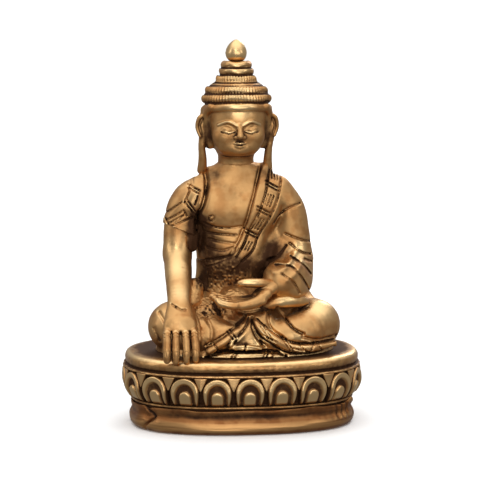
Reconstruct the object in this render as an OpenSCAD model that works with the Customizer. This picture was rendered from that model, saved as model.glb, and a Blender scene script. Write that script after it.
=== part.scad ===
// Seated earth-touching figure on an oval lotus pedestal: hollow castings, pinned and pegged
// together, filled with rolled prayers round a wooden rod and closed below by a folded sheet.
// Millimetres. +Z is up, the figure faces -Y, and the origin is under the middle of the foot.

/* [Overall] */
// Height of the whole statue
statue_h = 90; // [75:1:110]
// Width of the lotus pedestal
pedestal_w = 56.4; // [47:0.2:70]
// Depth of the lotus pedestal, front to back
pedestal_d = 39.6; // [34:0.2:50]
// Height of the deck that the figure sits on
deck_h = 17.5; // [15:0.5:22]

/* [Pedestal] */
// Thickness of the cast walls
wall = 2; // [1.4:0.1:2.6]
// Thickness of the deck
deck_t = 2.2; // [1.6:0.1:3]
// How far the foot stands in from the widest line
foot_inset = 2.7; // [2:0.1:4]
// Number of petals round the band
petal_count = 20; // [14:2:26]
// How far a petal stands out from the band
petal_relief = 0.7; // [0.4:0.1:1]
// Diameter of the filling hole through the deck
deck_hole_d = 14; // [13.6:0.2:15]

/* [Base sheet] */
// Thickness of the base sheet
sheet_t = 0.6; // [0.4:0.1:0.9]
// Height of the turned-up edge
sheet_h = 6; // [4.5:0.1:7]
// Thickness of the cloth pad on the base sheet
pad_t = 1.6; // [1:0.1:2.5]

/* [Pegs and pins] */
// Diameter of the spigot under the head
neck_d = 6.4; // [5.8:0.1:7]
// Length of the spigot under the head
neck_peg_l = 5.5; // [4:0.1:7]
// Diameter of the bore through the spigot
neck_bore_d = 4; // [3.8:0.1:4.2]
// Diameter of the peg on the right forearm
arm_peg_d = 3; // [2.4:0.1:3.4]
// Length of the peg on the right forearm
arm_peg_l = 4.5; // [3:0.1:6]
// Diameter of the peg on the left hand
hand_peg_d = 2.4; // [2:0.1:2.8]
// Length of the peg on the left hand
hand_peg_l = 4; // [3:0.1:5]
// Diameter of the peg under the jewel
jewel_peg_d = 2; // [1.6:0.1:2.4]
// Length of the peg under the jewel
jewel_peg_l = 3; // [2:0.1:3.5]
// Diameter of the pin through the neck
neck_pin_d = 1.2; // [1:0.1:1.4]
// Diameter of the pins through the arm pegs
arm_pin_d = 0.9; // [0.7:0.1:1.1]
// Radial gap of every peg and pin
fit_gap = 0.05; // [0.03:0.01:0.08]

/* [Seat fixing] */
// Width of each tang under the figure
tang_w = 4; // [3:0.1:5]
// Thickness of each tang
tang_t = 2; // [1.6:0.1:2.6]
// Length of a tang below the deck
tang_drop = 4; // [3.5:0.1:5]
// Length of the wedge driven through a tang
wedge_l = 7; // [6:0.1:8]
// Thickness of the wedge
wedge_t = 1; // [0.8:0.1:1.3]
// Diameter of the plugs in the core-pin holes
plug_d = 1.6; // [1.2:0.1:2]

/* [Filling] */
// Width of the square wooden rod
rod_w = 2.4; // [2:0.1:2.6]
// Diameter of a pedestal scroll
scroll_d = 4; // [3.6:0.1:4.2]
// Length of a pedestal scroll
scroll_l = 8.5; // [6:0.5:9]
// Diameter of the scroll in the chest
heart_scroll_d = 3.2; // [2.6:0.1:3.4]
// Length of the scroll in the chest
heart_scroll_l = 9; // [7:0.5:10]
// Diameter of the scroll in the head
crown_scroll_d = 2.2; // [1.8:0.1:2.4]
// Length of the scroll in the head
crown_scroll_l = 4.5; // [3:0.1:5]
// Thickness of the ties
tie_t = 0.35; // [0.3:0.05:0.5]
// Height of the ties
tie_h = 1; // [0.8:0.1:1.4]

/* [Hidden] */

brass = [0.72, 0.53, 0.27];
sheet_brass = [0.66, 0.42, 0.22];
pin_brass = [0.78, 0.6, 0.3];
wood = [0.55, 0.38, 0.22];
paper = [0.85, 0.78, 0.6];
thread = [0.7, 0.15, 0.1];
saffron = [0.85, 0.5, 0.15];
cotton = [0.8, 0.7, 0.5];

// The figure is drawn 72.5 high and this factor brings it to the height left above the deck.
figure_h = 72.5;
k = (statue_h - deck_h) / figure_h;
axis_x = -1;
axis_y = 3.4;
neck_z = 43.2;
jewel_z = 67.4;
sleeve_z = 28;
sleeve_x = -14.8;
sleeve_y = 2.2;
cuff = [7.4, -8, 16.4];
cuff_turn = -138;
cuff_way = [cos(cuff_turn), sin(cuff_turn), 0];
plan_power = 2.4;
sheet_gap = 0.05;
plan_sides = 60;
limb_sides = 14;
hair_rings = [[57, 8.4], [59, 8.2], [60.8, 7.3], [63.2, 4.8], [65.1, 4.3], [66.6, 3.8]];

// A drawn point of the figure, in the statue's own place and size.
function placed(p) = [p[0] * k, p[1] * k, deck_h + p[2] * k];

// A point on the smooth curve from b to c, with a before and d after them.
function curve(a, b, c, d, t) =
    0.5 * (2 * b + (c - a) * t + (2 * a - 5 * b + 4 * c - d) * t * t + (3 * b - a - 3 * c + d) * t * t * t);

// Stations of a limb or loft, with steps smooth ones from each to the next.
function smooth(s, steps) = [
    for (i = [0:len(s) - 2], n = [0:steps - 1])
        curve(s[max(i - 1, 0)], s[i], s[i + 1], s[min(i + 2, len(s) - 1)], n / steps),
    s[len(s) - 1]
];

// An oval between an ellipse and a rectangle, as a list of points.
function power(v, e) = sign(v) * pow(abs(v), 2 / e);
function oval(half_w, half_d, sides, e) = [
    for (a = [0:sides - 1])
        [half_w * power(cos(360 * a / sides), e), half_d * power(sin(360 * a / sides), e)]
];

// A closed skin over rings that all have the same number of points.
module skin(rings) {
    n = len(rings[0]);
    last = len(rings) - 1;
    polyhedron(
        points = [for (r = rings) each r],
        faces = [
            [for (i = [0:n - 1]) i],
            for (j = [0:last - 1], i = [0:n - 1])
                each [
                    [j * n + i, (j + 1) * n + i, (j + 1) * n + (i + 1) % n],
                    [j * n + i, (j + 1) * n + (i + 1) % n, j * n + (i + 1) % n]
                ],
            [for (i = [n - 1:-1:0]) last * n + i]
        ]
    );
}

// A stack of level ovals: each station is [z, x, y, half width, half depth] in drawn units.
module stack(stations, steps = 2, sides = 26, e = 2) {
    skin([
        for (s = smooth(stations, steps))
            [for (p = oval(s[3], s[4], sides, e)) placed([s[1] + p[0], s[2] + p[1], s[0]])]
    ]);
}

// A limb through stations [x, y, z, half width, half thickness]. Its width lies along side,
// and each end is rounded unless it is named flat.
module limb(
    stations, side = [1, 0, 0], steps = 2, flat_start = false, flat_end = false, sides = limb_sides
) {
    s = smooth(stations, steps);
    last = len(s) - 1;
    dirs = [for (i = [0:last]) unit(point(s[min(i + 1, last)]) - point(s[max(i - 1, 0)]))];
    cap_turns = [12, 35, 60];
    first_cap = flat_start ? [] : [for (a = cap_turns) cap_ring(s[0], dirs[0], side, a, -1, sides)];
    middle = [for (i = [0:last]) cap_ring(s[i], dirs[i], side, 90, 0, sides)];
    last_cap = flat_end ? [] : [
        for (i = [2:-1:0]) cap_ring(s[last], dirs[last], side, cap_turns[i], 1, sides)
    ];
    skin(concat(first_cap, middle, last_cap));
}
function point(s) = [s[0], s[1], s[2]];
function unit(v) = v / norm(v);
function cap_ring(s, dir, side, turn, way, sides) =
    let (u = unit(side - (side * dir) * dir), v = cross(dir, u), c = point(s) + way * dir * s[4] * cos(turn))
    [for (a = [0:360 / sides:359.9]) placed(c + sin(turn) * (u * s[3] * cos(a) + v * s[4] * sin(a)))];

// The pedestal's plan at a distance in from the widest line.
function plan(inset) = oval(pedestal_w / 2 - inset, pedestal_d / 2 - inset, plan_sides, plan_power);
module plan_loft(levels) {
    skin([for (l = levels) [for (p = plan(l[0])) [p[0], p[1], l[1]]]]);
}

// The cast pedestal: petal band, shoulder and deck, hollow and open below.
module pedestal() {
    foot_z = sheet_t + sheet_gap;
    band_z = sheet_h + 0.4;
    cavity_top = deck_h - deck_t;
    color(brass)
        difference() {
            resize([0, 0, 0])
                difference() {
                    union() {
                        plan_loft([
                            [foot_inset, foot_z], [foot_inset, band_z], [foot_inset - 0.2, band_z + 1],
                            [petal_inset, band_z + 4.4], [petal_relief + 0.3, band_z + 7.4],
                            [petal_relief + 0.4, band_z + 8.2], [0.3, deck_h - 2.4], [0, deck_h - 1.8],
                            [0.4, deck_h - 1], [1.7, deck_h - 0.2], [2.6, deck_h]
                        ]);
                        for (i = [0:petal_count - 1]) petal(i / petal_count, band_z);
                    }
                    plan_loft([
                        [foot_inset + wall, -1], [foot_inset + wall, band_z + 1],
                        [petal_inset + wall, band_z + 4.6], [petal_relief + wall + 0.5, cavity_top]
                    ]);
                }
            translate([axis_x * k, axis_y * k, cavity_top - 1])
                cylinder(h = deck_t + 2, d = deck_hole_d, $fn = 64);
            for (x = tang_places()) tang_box(x, sheet_gap * 2);
        }
}

// Petals stand at even steps along this line: each mark is [distance along it, angle].
petal_lean = 13;
petal_inset = petal_relief + 0.9;
petal_half_w = pedestal_w / 2 - petal_inset;
petal_half_d = pedestal_d / 2 - petal_inset;
petal_line = oval(petal_half_w, petal_half_d, 180, plan_power);
petal_marks = [
    for (i = 0, run = 0; i <= 180; run = run + norm(petal_line[(i + 1) % 180] - petal_line[i % 180]),
        i = i + 1) [run, 2 * i]
];
petal_run = petal_marks[180][0];

// One petal, a share of the way round: an upright bud with a smaller bud in relief on it.
module petal(share, band_z) {
    turn = lookup(petal_run * ((share + 0.75) % 1), petal_marks);
    at = [petal_half_w * power(cos(turn), plan_power), petal_half_d * power(sin(turn), plan_power)];
    facing = atan2(sign(at[1]) * pow(abs(at[1]) / petal_half_d, plan_power - 1) / petal_half_d,
        sign(at[0]) * pow(abs(at[0]) / petal_half_w, plan_power - 1) / petal_half_w);
    half_w = petal_run / petal_count * 0.49;
    translate([at[0], at[1], band_z + 4.4])
        rotate([0, petal_lean, facing])
            intersection() {
                translate([-3, -half_w, -4.2]) cube([6, 2 * half_w, 10]);
                union() {
                    translate([-0.2, 0, -2.8])
                        scale([petal_relief + 0.2, half_w, 6.8])
                            sphere(r = 1, $fn = 12);
                    translate([petal_relief * 0.5, 0, -2.2])
                        scale([petal_relief, half_w * 0.55, 4])
                            sphere(r = 1, $fn = 8);
                }
            }
}

function tang_places() = [-11.5 * k, 11.5 * k];
tang_y = 6;
module tang_box(x, gap) {
    translate([x - tang_w / 2 - gap, tang_y * k - tang_t / 2 - gap, deck_h - deck_t - tang_drop])
        cube([tang_w + 2 * gap, tang_t + 2 * gap, deck_t + tang_drop + 1.5]);
}

// The sheet below: flat under the foot, with its edge turned up round it.
module base_sheet() {
    turned_up = foot_inset - sheet_gap - sheet_t;
    color(sheet_brass)
        difference() {
            linear_extrude(sheet_h) polygon(plan(turned_up));
            translate([0, 0, sheet_t]) linear_extrude(sheet_h) polygon(plan(turned_up + sheet_t));
        }
}

// The figure without head, right forearm and left hand: torso, sleeves, legs and robe, cast hollow.
module body() {
    peg_gap = 2 * fit_gap;
    color(brass)
        union() {
            difference() {
                resize([0, 0, 0])
                    difference() {
                        union() {
                            torso();
                            sleeves();
                            legs();
                            robe();
                        }
                        hollow();
                    }
                translate(placed([axis_x, axis_y, neck_z]) - [0, 0, neck_peg_l + 3])
                    cylinder(h = neck_peg_l + 4, d = neck_d + peg_gap, $fn = 64);
                translate(placed([sleeve_x, sleeve_y, sleeve_z]) - [0, 0, 1])
                    cylinder(h = arm_peg_l + 1.2, d = arm_peg_d + peg_gap, $fn = 48);
                translate(placed(cuff))
                    rotate([0, 0, cuff_turn])
                        rotate([0, -90, 0])
                            translate([0, 0, -1])
                                cylinder(h = hand_peg_l + 1.2, d = hand_peg_d + peg_gap, $fn = 48);
                neck_pin_shape(fit_gap);
                arm_pin_shapes(fit_gap);
                core_plug_shapes(fit_gap);
            }
            for (x = tang_places())
                difference() {
                    tang_box(x, 0);
                    wedge_box(x, sheet_gap);
                }
        }
}
module torso() {
    stack([
        [0, 0, 3, 15, 9.4], [6, 0, 3.2, 13.6, 8.8], [12, -0.3, 3.2, 11, 7.4], [19, -0.6, 3.2, 9.8, 6.6],
        [27, -0.8, 3.2, 10.6, 6.8], [34, -1, 3.3, 12.6, 7], [38.4, -1, 3.4, 11.4, 6],
        [41.2, -1, 3.4, 7.4, 5.2], [neck_z, axis_x, axis_y, 4.5, 4.5]
    ]);
}
module sleeves() {
    stack([
        [sleeve_z, sleeve_x, sleeve_y, 3.7, 3.6], [31.5, -14.1, 2.6, 3.8, 3.8], [35, -12.8, 3, 4.2, 4.2],
        [38.6, -10.6, 3.2, 3.5, 3.4], [40, -9.6, 3.2, 1.4, 1.4]
    ], sides = 20);
    limb([[9.2, 3.2, 36, 4.3, 4.3], [11.8, 3, 28, 4.2, 4.2], [12.5, 2.2, 20.5, 4.1, 4.1]]);
    difference() {
        limb([
            [12.4, 2.2, 19.5, 4, 4], [11.2, -2.6, 17.4, 3.8, 3.8],
            concat(cuff - cuff_way * 2, [3.3, 3.1]), concat(cuff + cuff_way * 0.6, [3.1, 2.9])
        ], side = [0, 0, 1], flat_end = true);
        cuff_block(1);
    }
}
module legs(grow = 0) {
    level = [0, 0, 1];
    limb(grown([[-7, 4, 7, 6.6, 6.4], [-13, 1, 6.2, 6.2, 6], [-16.2, -3, 5.9, 5.8, 5.8]], grow));
    limb(grown([[7, 4, 7, 6.6, 6.4], [13.4, 1, 6.2, 6.2, 6], [17, -3, 5.9, 5.8, 5.8]], grow));
    limb(grown([
        [17, -3.4, 5.8, 5.6, 5.6], [13.6, -7.6, 5, 4.9, 5], [5, -9.6, 3.9, 3.9, 4]
    ], grow), side = level);
    limb(grown([
        [-16.2, -3.4, 5.8, 5.6, 5.6], [-11, -8, 4.8, 4.8, 4.8], [-2, -9.6, 5.2, 4, 4],
        [6, -8.8, 8, 2.9, 3.2], [13, -7.2, 10.4, 1.6, 2.4]
    ], grow), side = level);
}
function grown(s, grow) = [for (p = s) [p[0], p[1], p[2], p[3] + grow / k, p[4] + grow / k]];
module robe() {
    robe_seat();
    band = [1, 0, -0.35];
    limb([
        [5, 2.2, 42.2, 1.5, 0.8], [6.4, -1.4, 38.6, 1.5, 0.8], [4.6, -3.2, 32, 1.5, 0.8],
        [1, -3.4, 24, 1.5, 0.8], [-4, -3.3, 19, 1.3, 0.8]
    ], side = band, sides = 8);
    hems();
    limb([
        [-6.6, 2, 41.6, 1.3, 0.8], [-8.6, -1.6, 37, 1.3, 0.8], [-9.6, -2.4, 31.4, 1.2, 0.8],
        [-10.2, -0.8, 26.6, 1, 0.7]
    ], sides = 8);
}
// The robe spread on the deck, and its fold between the shins and the lap.
module robe_seat(grow = 0) {
    translate([0, 0, deck_h])
        linear_extrude(1.4 * k + grow)
            polygon([for (p = oval(20.5 + grow, 13 + grow, 48, 2.2)) [(p[0] + 0.6) * k, (p[1] - 1) * k]]);
}
module lap_fold(grow = 0) {
    stack([
        [0, 1, -8, 8 + grow, 6.2 + grow], [5, 1, -8, 5.5 + grow, 5.4 + grow],
        [12 + grow, 1, -6, 4 + grow, 3 + grow]
    ], sides = 16);
}

// The raised hems that meet in front of the shins, and the small fan of folds between them.
module hems() {
    upright = [0, -0.5, 1];
    limb([
        [1.2, -13.2, 9, 0.6, 0.9], [3, -14, 6, 0.8, 1], [6, -14.2, 3.5, 1, 1],
        [9.6, -13.6, 1.8, 1.1, 1], [15, -12.2, 1.3, 1.1, 1], [20.6, -8.6, 1.8, 0.9, 0.9]
    ], side = upright, sides = 8);
    limb([
        [-2.8, -13.6, 7.4, 0.6, 0.9], [-5.6, -14.2, 4, 0.9, 1], [-9.4, -14, 1.8, 0.9, 1]
    ], side = upright, sides = 8);
    limb([
        [-4, -13.4, 2.7, 0.5, 0.7], [-0.4, -14, 2.7, 0.8, 0.8], [3.3, -13.4, 2.6, 0.5, 0.7]
    ], side = upright, sides = 8);
    limb([
        [-9, -13.8, 0.9, 0.5, 0.8], [-1.5, -14.7, 1, 0.8, 0.9], [5.6, -14.2, 0.9, 0.5, 0.8]
    ], side = upright, sides = 8);
    lap_fold();
}
module hollow() {
    stack([
        [-1, 0, 3.4, 12.6, 6.6], [5, 0, 3.4, 11, 6.2], [12, -0.3, 3.3, 8.6, 5], [19, -0.6, 3.3, 7.4, 4.3],
        [27, -0.8, 3.3, 8.2, 4.5], [33, -1, 3.3, 9, 4.5], [37.6, -1, 3.4, 4.4, 3.6]
    ], sides = 22);
}

// The head: face, long ears, hair in rings and the raised crown, cast hollow on a spigot.
module head() {
    color(brass)
        union() {
            difference() {
                resize([0, 0, 0])
                    difference() {
                        union() {
                            skull();
                            features();
                            ears();
                            for (r = hair_rings) hair_ring(r);
                        }
                        stack([
                            [42, axis_x, axis_y, 1.7, 1.7], [47, axis_x, 3.2, 2.6, 2.6],
                            [51, axis_x, 2.4, 4.6, 4.8], [55, axis_x, 2.2, 4.8, 5], [59, axis_x, 2.4, 3, 3.2]
                        ], sides = 16);
                    }
                translate(placed([axis_x, axis_y, neck_z]) - [0, 0, 1])
                    cylinder(h = 4, d = neck_bore_d, $fn = 48);
                translate(placed([axis_x, 2.2, jewel_z]) - [0, 0, jewel_peg_l])
                    cylinder(h = jewel_peg_l + 1, d = jewel_peg_d + 2 * fit_gap, $fn = 48);
            }
            difference() {
                translate(placed([axis_x, axis_y, neck_z]) - [0, 0, neck_peg_l])
                    cylinder(h = neck_peg_l + 0.4, d = neck_d, $fn = 64);
                translate(placed([axis_x, axis_y, neck_z]) - [0, 0, neck_peg_l + 1])
                    cylinder(h = neck_peg_l + 2, d = neck_bore_d, $fn = 48);
                neck_pin_shape(fit_gap);
            }
        }
}
module skull() {
    stack([
        [neck_z, axis_x, axis_y, 4.4, 4.4], [45, axis_x, 3, 4.2, 4.6], [46.6, axis_x, 1.4, 5, 5.6],
        [49.4, axis_x, 0.8, 6.2, 6.8], [53, axis_x, 1.1, 6.9, 7.5], [56.4, axis_x, 1.7, 7.5, 7.7],
        [59.4, axis_x, 2, 7.4, 7.4], [61.4, axis_x, 2.2, 6, 6], [63.2, axis_x, 2.2, 4.2, 4.2],
        [jewel_z, axis_x, 2.2, 3, 3]
    ], sides = 24);
}
module features() {
    limb([
        [axis_x, -6, 53, 0.5, 0.4], [axis_x, -6.4, 51.4, 0.6, 0.6], [axis_x, -6.4, 50.4, 0.9, 0.7]
    ], sides = 8);
    for (side = [-1, 1]) {
        limb([
            [axis_x + side * 1, -5.9, 52.6, 0.5, 0.4], [axis_x + side * 2.7, -5.6, 52.3, 0.9, 0.6],
            [axis_x + side * 4.3, -4.6, 52.7, 0.4, 0.3]
        ], side = [0, 0, 1], sides = 8);
    }
    limb([
        [axis_x - 1.5, -5.1, 48.6, 0.3, 0.3], [axis_x, -5.6, 48.4, 0.6, 0.5],
        [axis_x + 1.5, -5.1, 48.6, 0.3, 0.3]
    ], side = [0, 0, 1], sides = 8);
}
module ears() {
    for (side = [-1, 1])
        limb([
            [axis_x + side * 7.6, 1.3, 55.4, 0.9, 1.3], [axis_x + side * 8.4, 1.2, 53, 1, 1.7],
            [axis_x + side * 8.1, 1.2, 49.6, 0.9, 1.4], [axis_x + side * 7.6, 1.5, 45.6, 0.8, 1],
            [axis_x + side * 7.4, 2, 44.2, 0.8, 0.9]
        ], sides = 8);
}
module hair_ring(r) {
    translate(placed([axis_x, 2.1, r[0]]))
        rotate_extrude($fn = 24)
            translate([r[1] * k - 0.8 * k, 0])
                circle(r = 0.9 * k, $fn = 8);
}

// The bud-shaped jewel on the crown, with the peg that holds it.
module jewel() {
    h = statue_h - placed([0, 0, jewel_z])[2];
    r = 2.6 * k;
    color(brass)
        translate(placed([axis_x, 2.2, jewel_z]))
            union() {
                rotate_extrude($fn = 64)
                    polygon([
                        [0, 0],
                        for (s = smooth([[1.7, 0], [2.4, 0.18], [2.6, 0.36], [1.7, 0.72], [0.4, 1]], 6))
                            [s[0] / 2.6 * r, s[1] * h],
                        [0, h]
                    ]);
                translate([0, 0, -jewel_peg_l + fit_gap])
                    cylinder(h = jewel_peg_l, d = jewel_peg_d, $fn = 48);
            }
}

// The right forearm: a solid casting from the sleeve to the fingertips on the deck.
module right_forearm() {
    color(brass)
        difference() {
            union() {
                resize([0, 0, 0])
                    difference() {
                        bare_forearm();
                        legs(fit_gap);
                        robe_seat(fit_gap);
                    }
                translate(placed([sleeve_x, sleeve_y, sleeve_z]) - [0, 0, 0.5])
                    cylinder(h = arm_peg_l + 0.5, d = arm_peg_d, $fn = 48);
            }
            arm_pin_shapes(fit_gap);
        }
}
module bare_forearm() {
    stack([
        [20, -15, 1, 2.2, 2.2], [22, -15, 1.4, 3.2, 3.2], [sleeve_z, sleeve_x, sleeve_y, 3.3, 3.2]
    ], sides = 16);
    limb([
        [-15, 0.8, 21.4, 3.2, 3.2], [-15.2, -4, 17.2, 3.1, 2.8], [-15.6, -9, 12.9, 2.8, 2],
        [-15.7, -12, 9.8, 3.5, 1.8], [-15.7, -14.2, 7, 3.9, 1.4]
    ]);
    for (x = [-18.7, -16.8, -14.7, -12.7]) finger(x);
    limb([[-13.2, -10, 10.8, 1.1, 1], [-11.7, -11.6, 7.8, 0.95, 0.9], [-11.4, -12.2, 4.6, 0.8, 0.8]]);
}
module finger(x) {
    limb([[x, -13.6, 7.6, 0.95, 0.9], [x, -15.4, 4.8, 0.9, 0.85], [x, -15.9, 1, 0.75, 0.7]], sides = 8);
}

// The left hand: palm up in the lap, pegged into the cuff.
module left_hand() {
    color(brass)
        difference() {
            union() {
                resize([0, 0, 0])
                    difference() {
                        bare_hand();
                        cuff_block(-1);
                        legs(fit_gap);
                        lap_fold(fit_gap);
                    }
                translate(placed(cuff))
                    rotate([0, 0, cuff_turn])
                        rotate([0, -90, 0])
                            translate([0, 0, -0.5])
                                cylinder(h = hand_peg_l + 0.5, d = hand_peg_d, $fn = 48);
            }
            arm_pin_shapes(fit_gap);
        }
}
module bare_hand() {
    limb([
        concat(cuff - cuff_way * 0.6, [2.2, 2]), concat(cuff + cuff_way * 2.6, [2, 1.8]),
        [3.4, -11.2, 15, 2.6, 1.5], [-0.6, -12, 14, 2.8, 1.3]
    ], side = [0.3, 1, 0.3], flat_start = true);
    for (i = [0:3])
        limb([
            [-0.4, -10.2 - 1.2 * i, 14.6 - 0.5 * i, 0.8, 0.7],
            [-4.6, -10.4 - 1.2 * i, 14.2 - 0.5 * i, 0.75, 0.7],
            [-8 + 0.6 * abs(i - 1), -10 - 1.2 * i, 14.4 - 0.5 * i, 0.65, 0.6]
        ], side = [0, 1, 0], sides = 8);
    limb([
        [4, -10, 16.4, 1.1, 1], [1.4, -10.2, 17.6, 0.95, 0.9], [-1.4, -10.2, 17.8, 0.8, 0.8]
    ], side = [0, 0, 1], sides = 8);
}

// The space just past the mouth of the left cuff (way = 1) or just inside it (way = -1).
module cuff_block(way) {
    translate(placed(cuff))
        rotate([0, 0, cuff_turn])
            translate([way > 0 ? 0 : -1.5, -4, -4])
                cube([1.5, 8, 8]);
}

// Pins: one from the back into the neck spigot, one through each arm peg.
module neck_pin_shape(gap) {
    reach = 5.2 * k - neck_bore_d / 2;
    translate(placed([axis_x, axis_y, neck_z]) - [0, 0, neck_peg_l / 2 + 0.4])
        rotate([-90, 0, 0])
            translate([0, 0, neck_bore_d / 2 + 0.2 - gap])
                cylinder(h = reach + 2 * gap, d = neck_pin_d + 2 * gap, $fn = 32);
}
module arm_pin_shapes(gap) {
    translate(placed([sleeve_x, sleeve_y, sleeve_z]) + [0, 0, arm_peg_l / 2 + 0.2])
        rotate([0, -90, 0])
            translate([0, 0, -arm_peg_d / 2 - gap])
                cylinder(h = arm_peg_d / 2 + 3.4 * k + 2 * gap, d = arm_pin_d + 2 * gap, $fn = 32);
    translate(placed(cuff) - cuff_way * (hand_peg_l / 2 + 0.2))
        translate([0, 0, -hand_peg_d / 2 - gap])
            cylinder(h = hand_peg_d / 2 + 2.6 * k + 2 * gap, d = arm_pin_d + 2 * gap, $fn = 32);
}
module neck_pin() {
    color(pin_brass) neck_pin_shape(0);
}
module arm_pins() {
    color(pin_brass) arm_pin_shapes(0);
}

// Wedges driven through the tangs, tight under the deck.
module wedge_box(x, gap) {
    top = deck_h - deck_t;
    translate([x - wedge_t / 2 - gap, tang_y * k - wedge_l / 2, top - 1.8 - gap])
        cube([wedge_t + 2 * gap, wedge_l, 1.8 + gap]);
}
module seat_wedges() {
    color(pin_brass)
        for (x = tang_places()) wedge_box(x, 0);
}

// Plugs in the holes that the core pins left in the back.
module core_plug_shapes(gap) {
    for (p = [[-5.5, 31], [4, 31], [-6, 14], [5.4, 14]])
        translate(placed([p[0], axis_y + 3.4, p[1]]))
            rotate([-90, 0, 0])
                translate([0, 0, -gap])
                    cylinder(h = plug_reach(p[1]) * k + 2 * gap, d = plug_d + 2 * gap, $fn = 32);
}
function plug_reach(z) = z > 20 ? 2.6 : 2.3;
module core_plugs() {
    color(pin_brass) core_plug_shapes(0);
}

// The filling, from the base sheet up.
pad_top = sheet_t + pad_t;
scroll_ring = scroll_d / 2 + rod_w * sqrt(2) / 2 + 0.4;
module cloth_pad() {
    color(saffron)
        translate([0, 0, sheet_t])
            linear_extrude(pad_t) polygon(plan(foot_inset + wall + 0.3));
}
module life_tree() {
    rod_l = placed([0, 0, 58])[2] - pad_top;
    point_l = 3;
    color(wood)
        translate([axis_x * k, axis_y * k, pad_top])
            intersection() {
                translate([-rod_w / 2, -rod_w / 2, 0]) cube([rod_w, rod_w, rod_l]);
                rotate_extrude($fn = 48)
                    polygon([[0, 0], [rod_w, 0], [rod_w, rod_l - point_l], [0.3, rod_l], [0, rod_l]]);
            }
}
module seat_scrolls() {
    color(paper)
        translate([axis_x * k, axis_y * k, pad_top])
            for (i = [0:5])
                rotate([0, 0, 60 * i])
                    translate([max(scroll_ring, scroll_d + 0.1), 0, 0])
                        cylinder(h = scroll_l, d = scroll_d, $fn = 40);
}
module bundle_tie() {
    inner = max(scroll_ring, scroll_d + 0.1) + scroll_d / 2;
    color(thread)
        translate([axis_x * k, axis_y * k, pad_top + scroll_l / 2])
            difference() {
                cylinder(h = tie_h, r = inner + tie_t, $fn = 72);
                translate([0, 0, -1]) cylinder(h = tie_h + 2, r = inner, $fn = 72);
            }
}
module grain_bags() {
    bundle = max(scroll_ring, scroll_d + 0.1) + scroll_d / 2 + tie_t;
    room = pedestal_w / 2 - foot_inset - wall - bundle - abs(axis_x) * k - 1;
    half_l = room / 2;
    color(cotton)
        for (side = [-1, 1])
            translate([axis_x * k + side * (bundle + half_l + 0.3), 0, pad_top])
                rotate_extrude($fn = 48)
                    polygon([
                        [0, 0],
                        for (a = [-60:20:80]) [half_l * 0.96 * cos(a), 2.6 + 3 * sin(a)],
                        [0, 5.6]
                    ]);
}
heart_z = 24;
module heart_scroll() {
    color(paper)
        translate(placed([axis_x, axis_y, heart_z]) - [heart_gap(), 0, 0])
            cylinder(h = heart_scroll_l, d = heart_scroll_d, $fn = 40);
}
function heart_gap() = rod_w / 2 + heart_scroll_d / 2 + 0.1;
module relic_packet() {
    size = [2.8, 3, 5];
    color(saffron)
        translate(placed([axis_x, axis_y, heart_z]) + [rod_w / 2 + 0.1, -size[1] / 2, 1])
            cube(size);
}
module heart_tie() {
    reach = heart_gap();
    color(thread)
        translate(placed([axis_x, axis_y, heart_z]) + [0, 0, 3])
            linear_extrude(tie_h)
                difference() {
                    tie_outline(reach, tie_t);
                    tie_outline(reach, 0);
                }
}
module tie_outline(reach, grow) {
    half_d = max(heart_scroll_d, 3) / 2 + 0.05 + grow;
    right = rod_w / 2 + 0.1 + 2.8 + 0.05 + grow;
    union() {
        translate([-reach, 0]) circle(r = half_d, $fn = 48);
        translate([-reach, -half_d]) square([reach + right, 2 * half_d]);
    }
}
crown_z = 49.5;
module crown_scroll() {
    color(paper)
        translate(placed([axis_x, axis_y, crown_z]) - [0, crown_gap(), 0])
            cylinder(h = crown_scroll_l, d = crown_scroll_d, $fn = 40);
}
function crown_gap() = rod_w / 2 + crown_scroll_d / 2 + 0.1;
module crown_tie() {
    color(thread)
        translate(placed([axis_x, axis_y, crown_z]) + [0, 0, crown_scroll_l / 2])
            linear_extrude(tie_h)
                difference() {
                    crown_outline(tie_t);
                    crown_outline(0);
                }
}
module crown_outline(grow) {
    half_w = max(crown_scroll_d, rod_w) / 2 + 0.05 + grow;
    union() {
        translate([0, -crown_gap()]) circle(r = half_w, $fn = 48);
        translate([-half_w, -crown_gap()]) square([2 * half_w, crown_gap() + rod_w / 2 + 0.05 + grow]);
    }
}

pedestal();
base_sheet();
body();
head();
jewel();
right_forearm();
left_hand();
neck_pin();
arm_pins();
seat_wedges();
core_plugs();
cloth_pad();
life_tree();
seat_scrolls();
bundle_tie();
grain_bags();
heart_scroll();
relic_packet();
heart_tie();
crown_scroll();
crown_tie();
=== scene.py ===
import math

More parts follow.
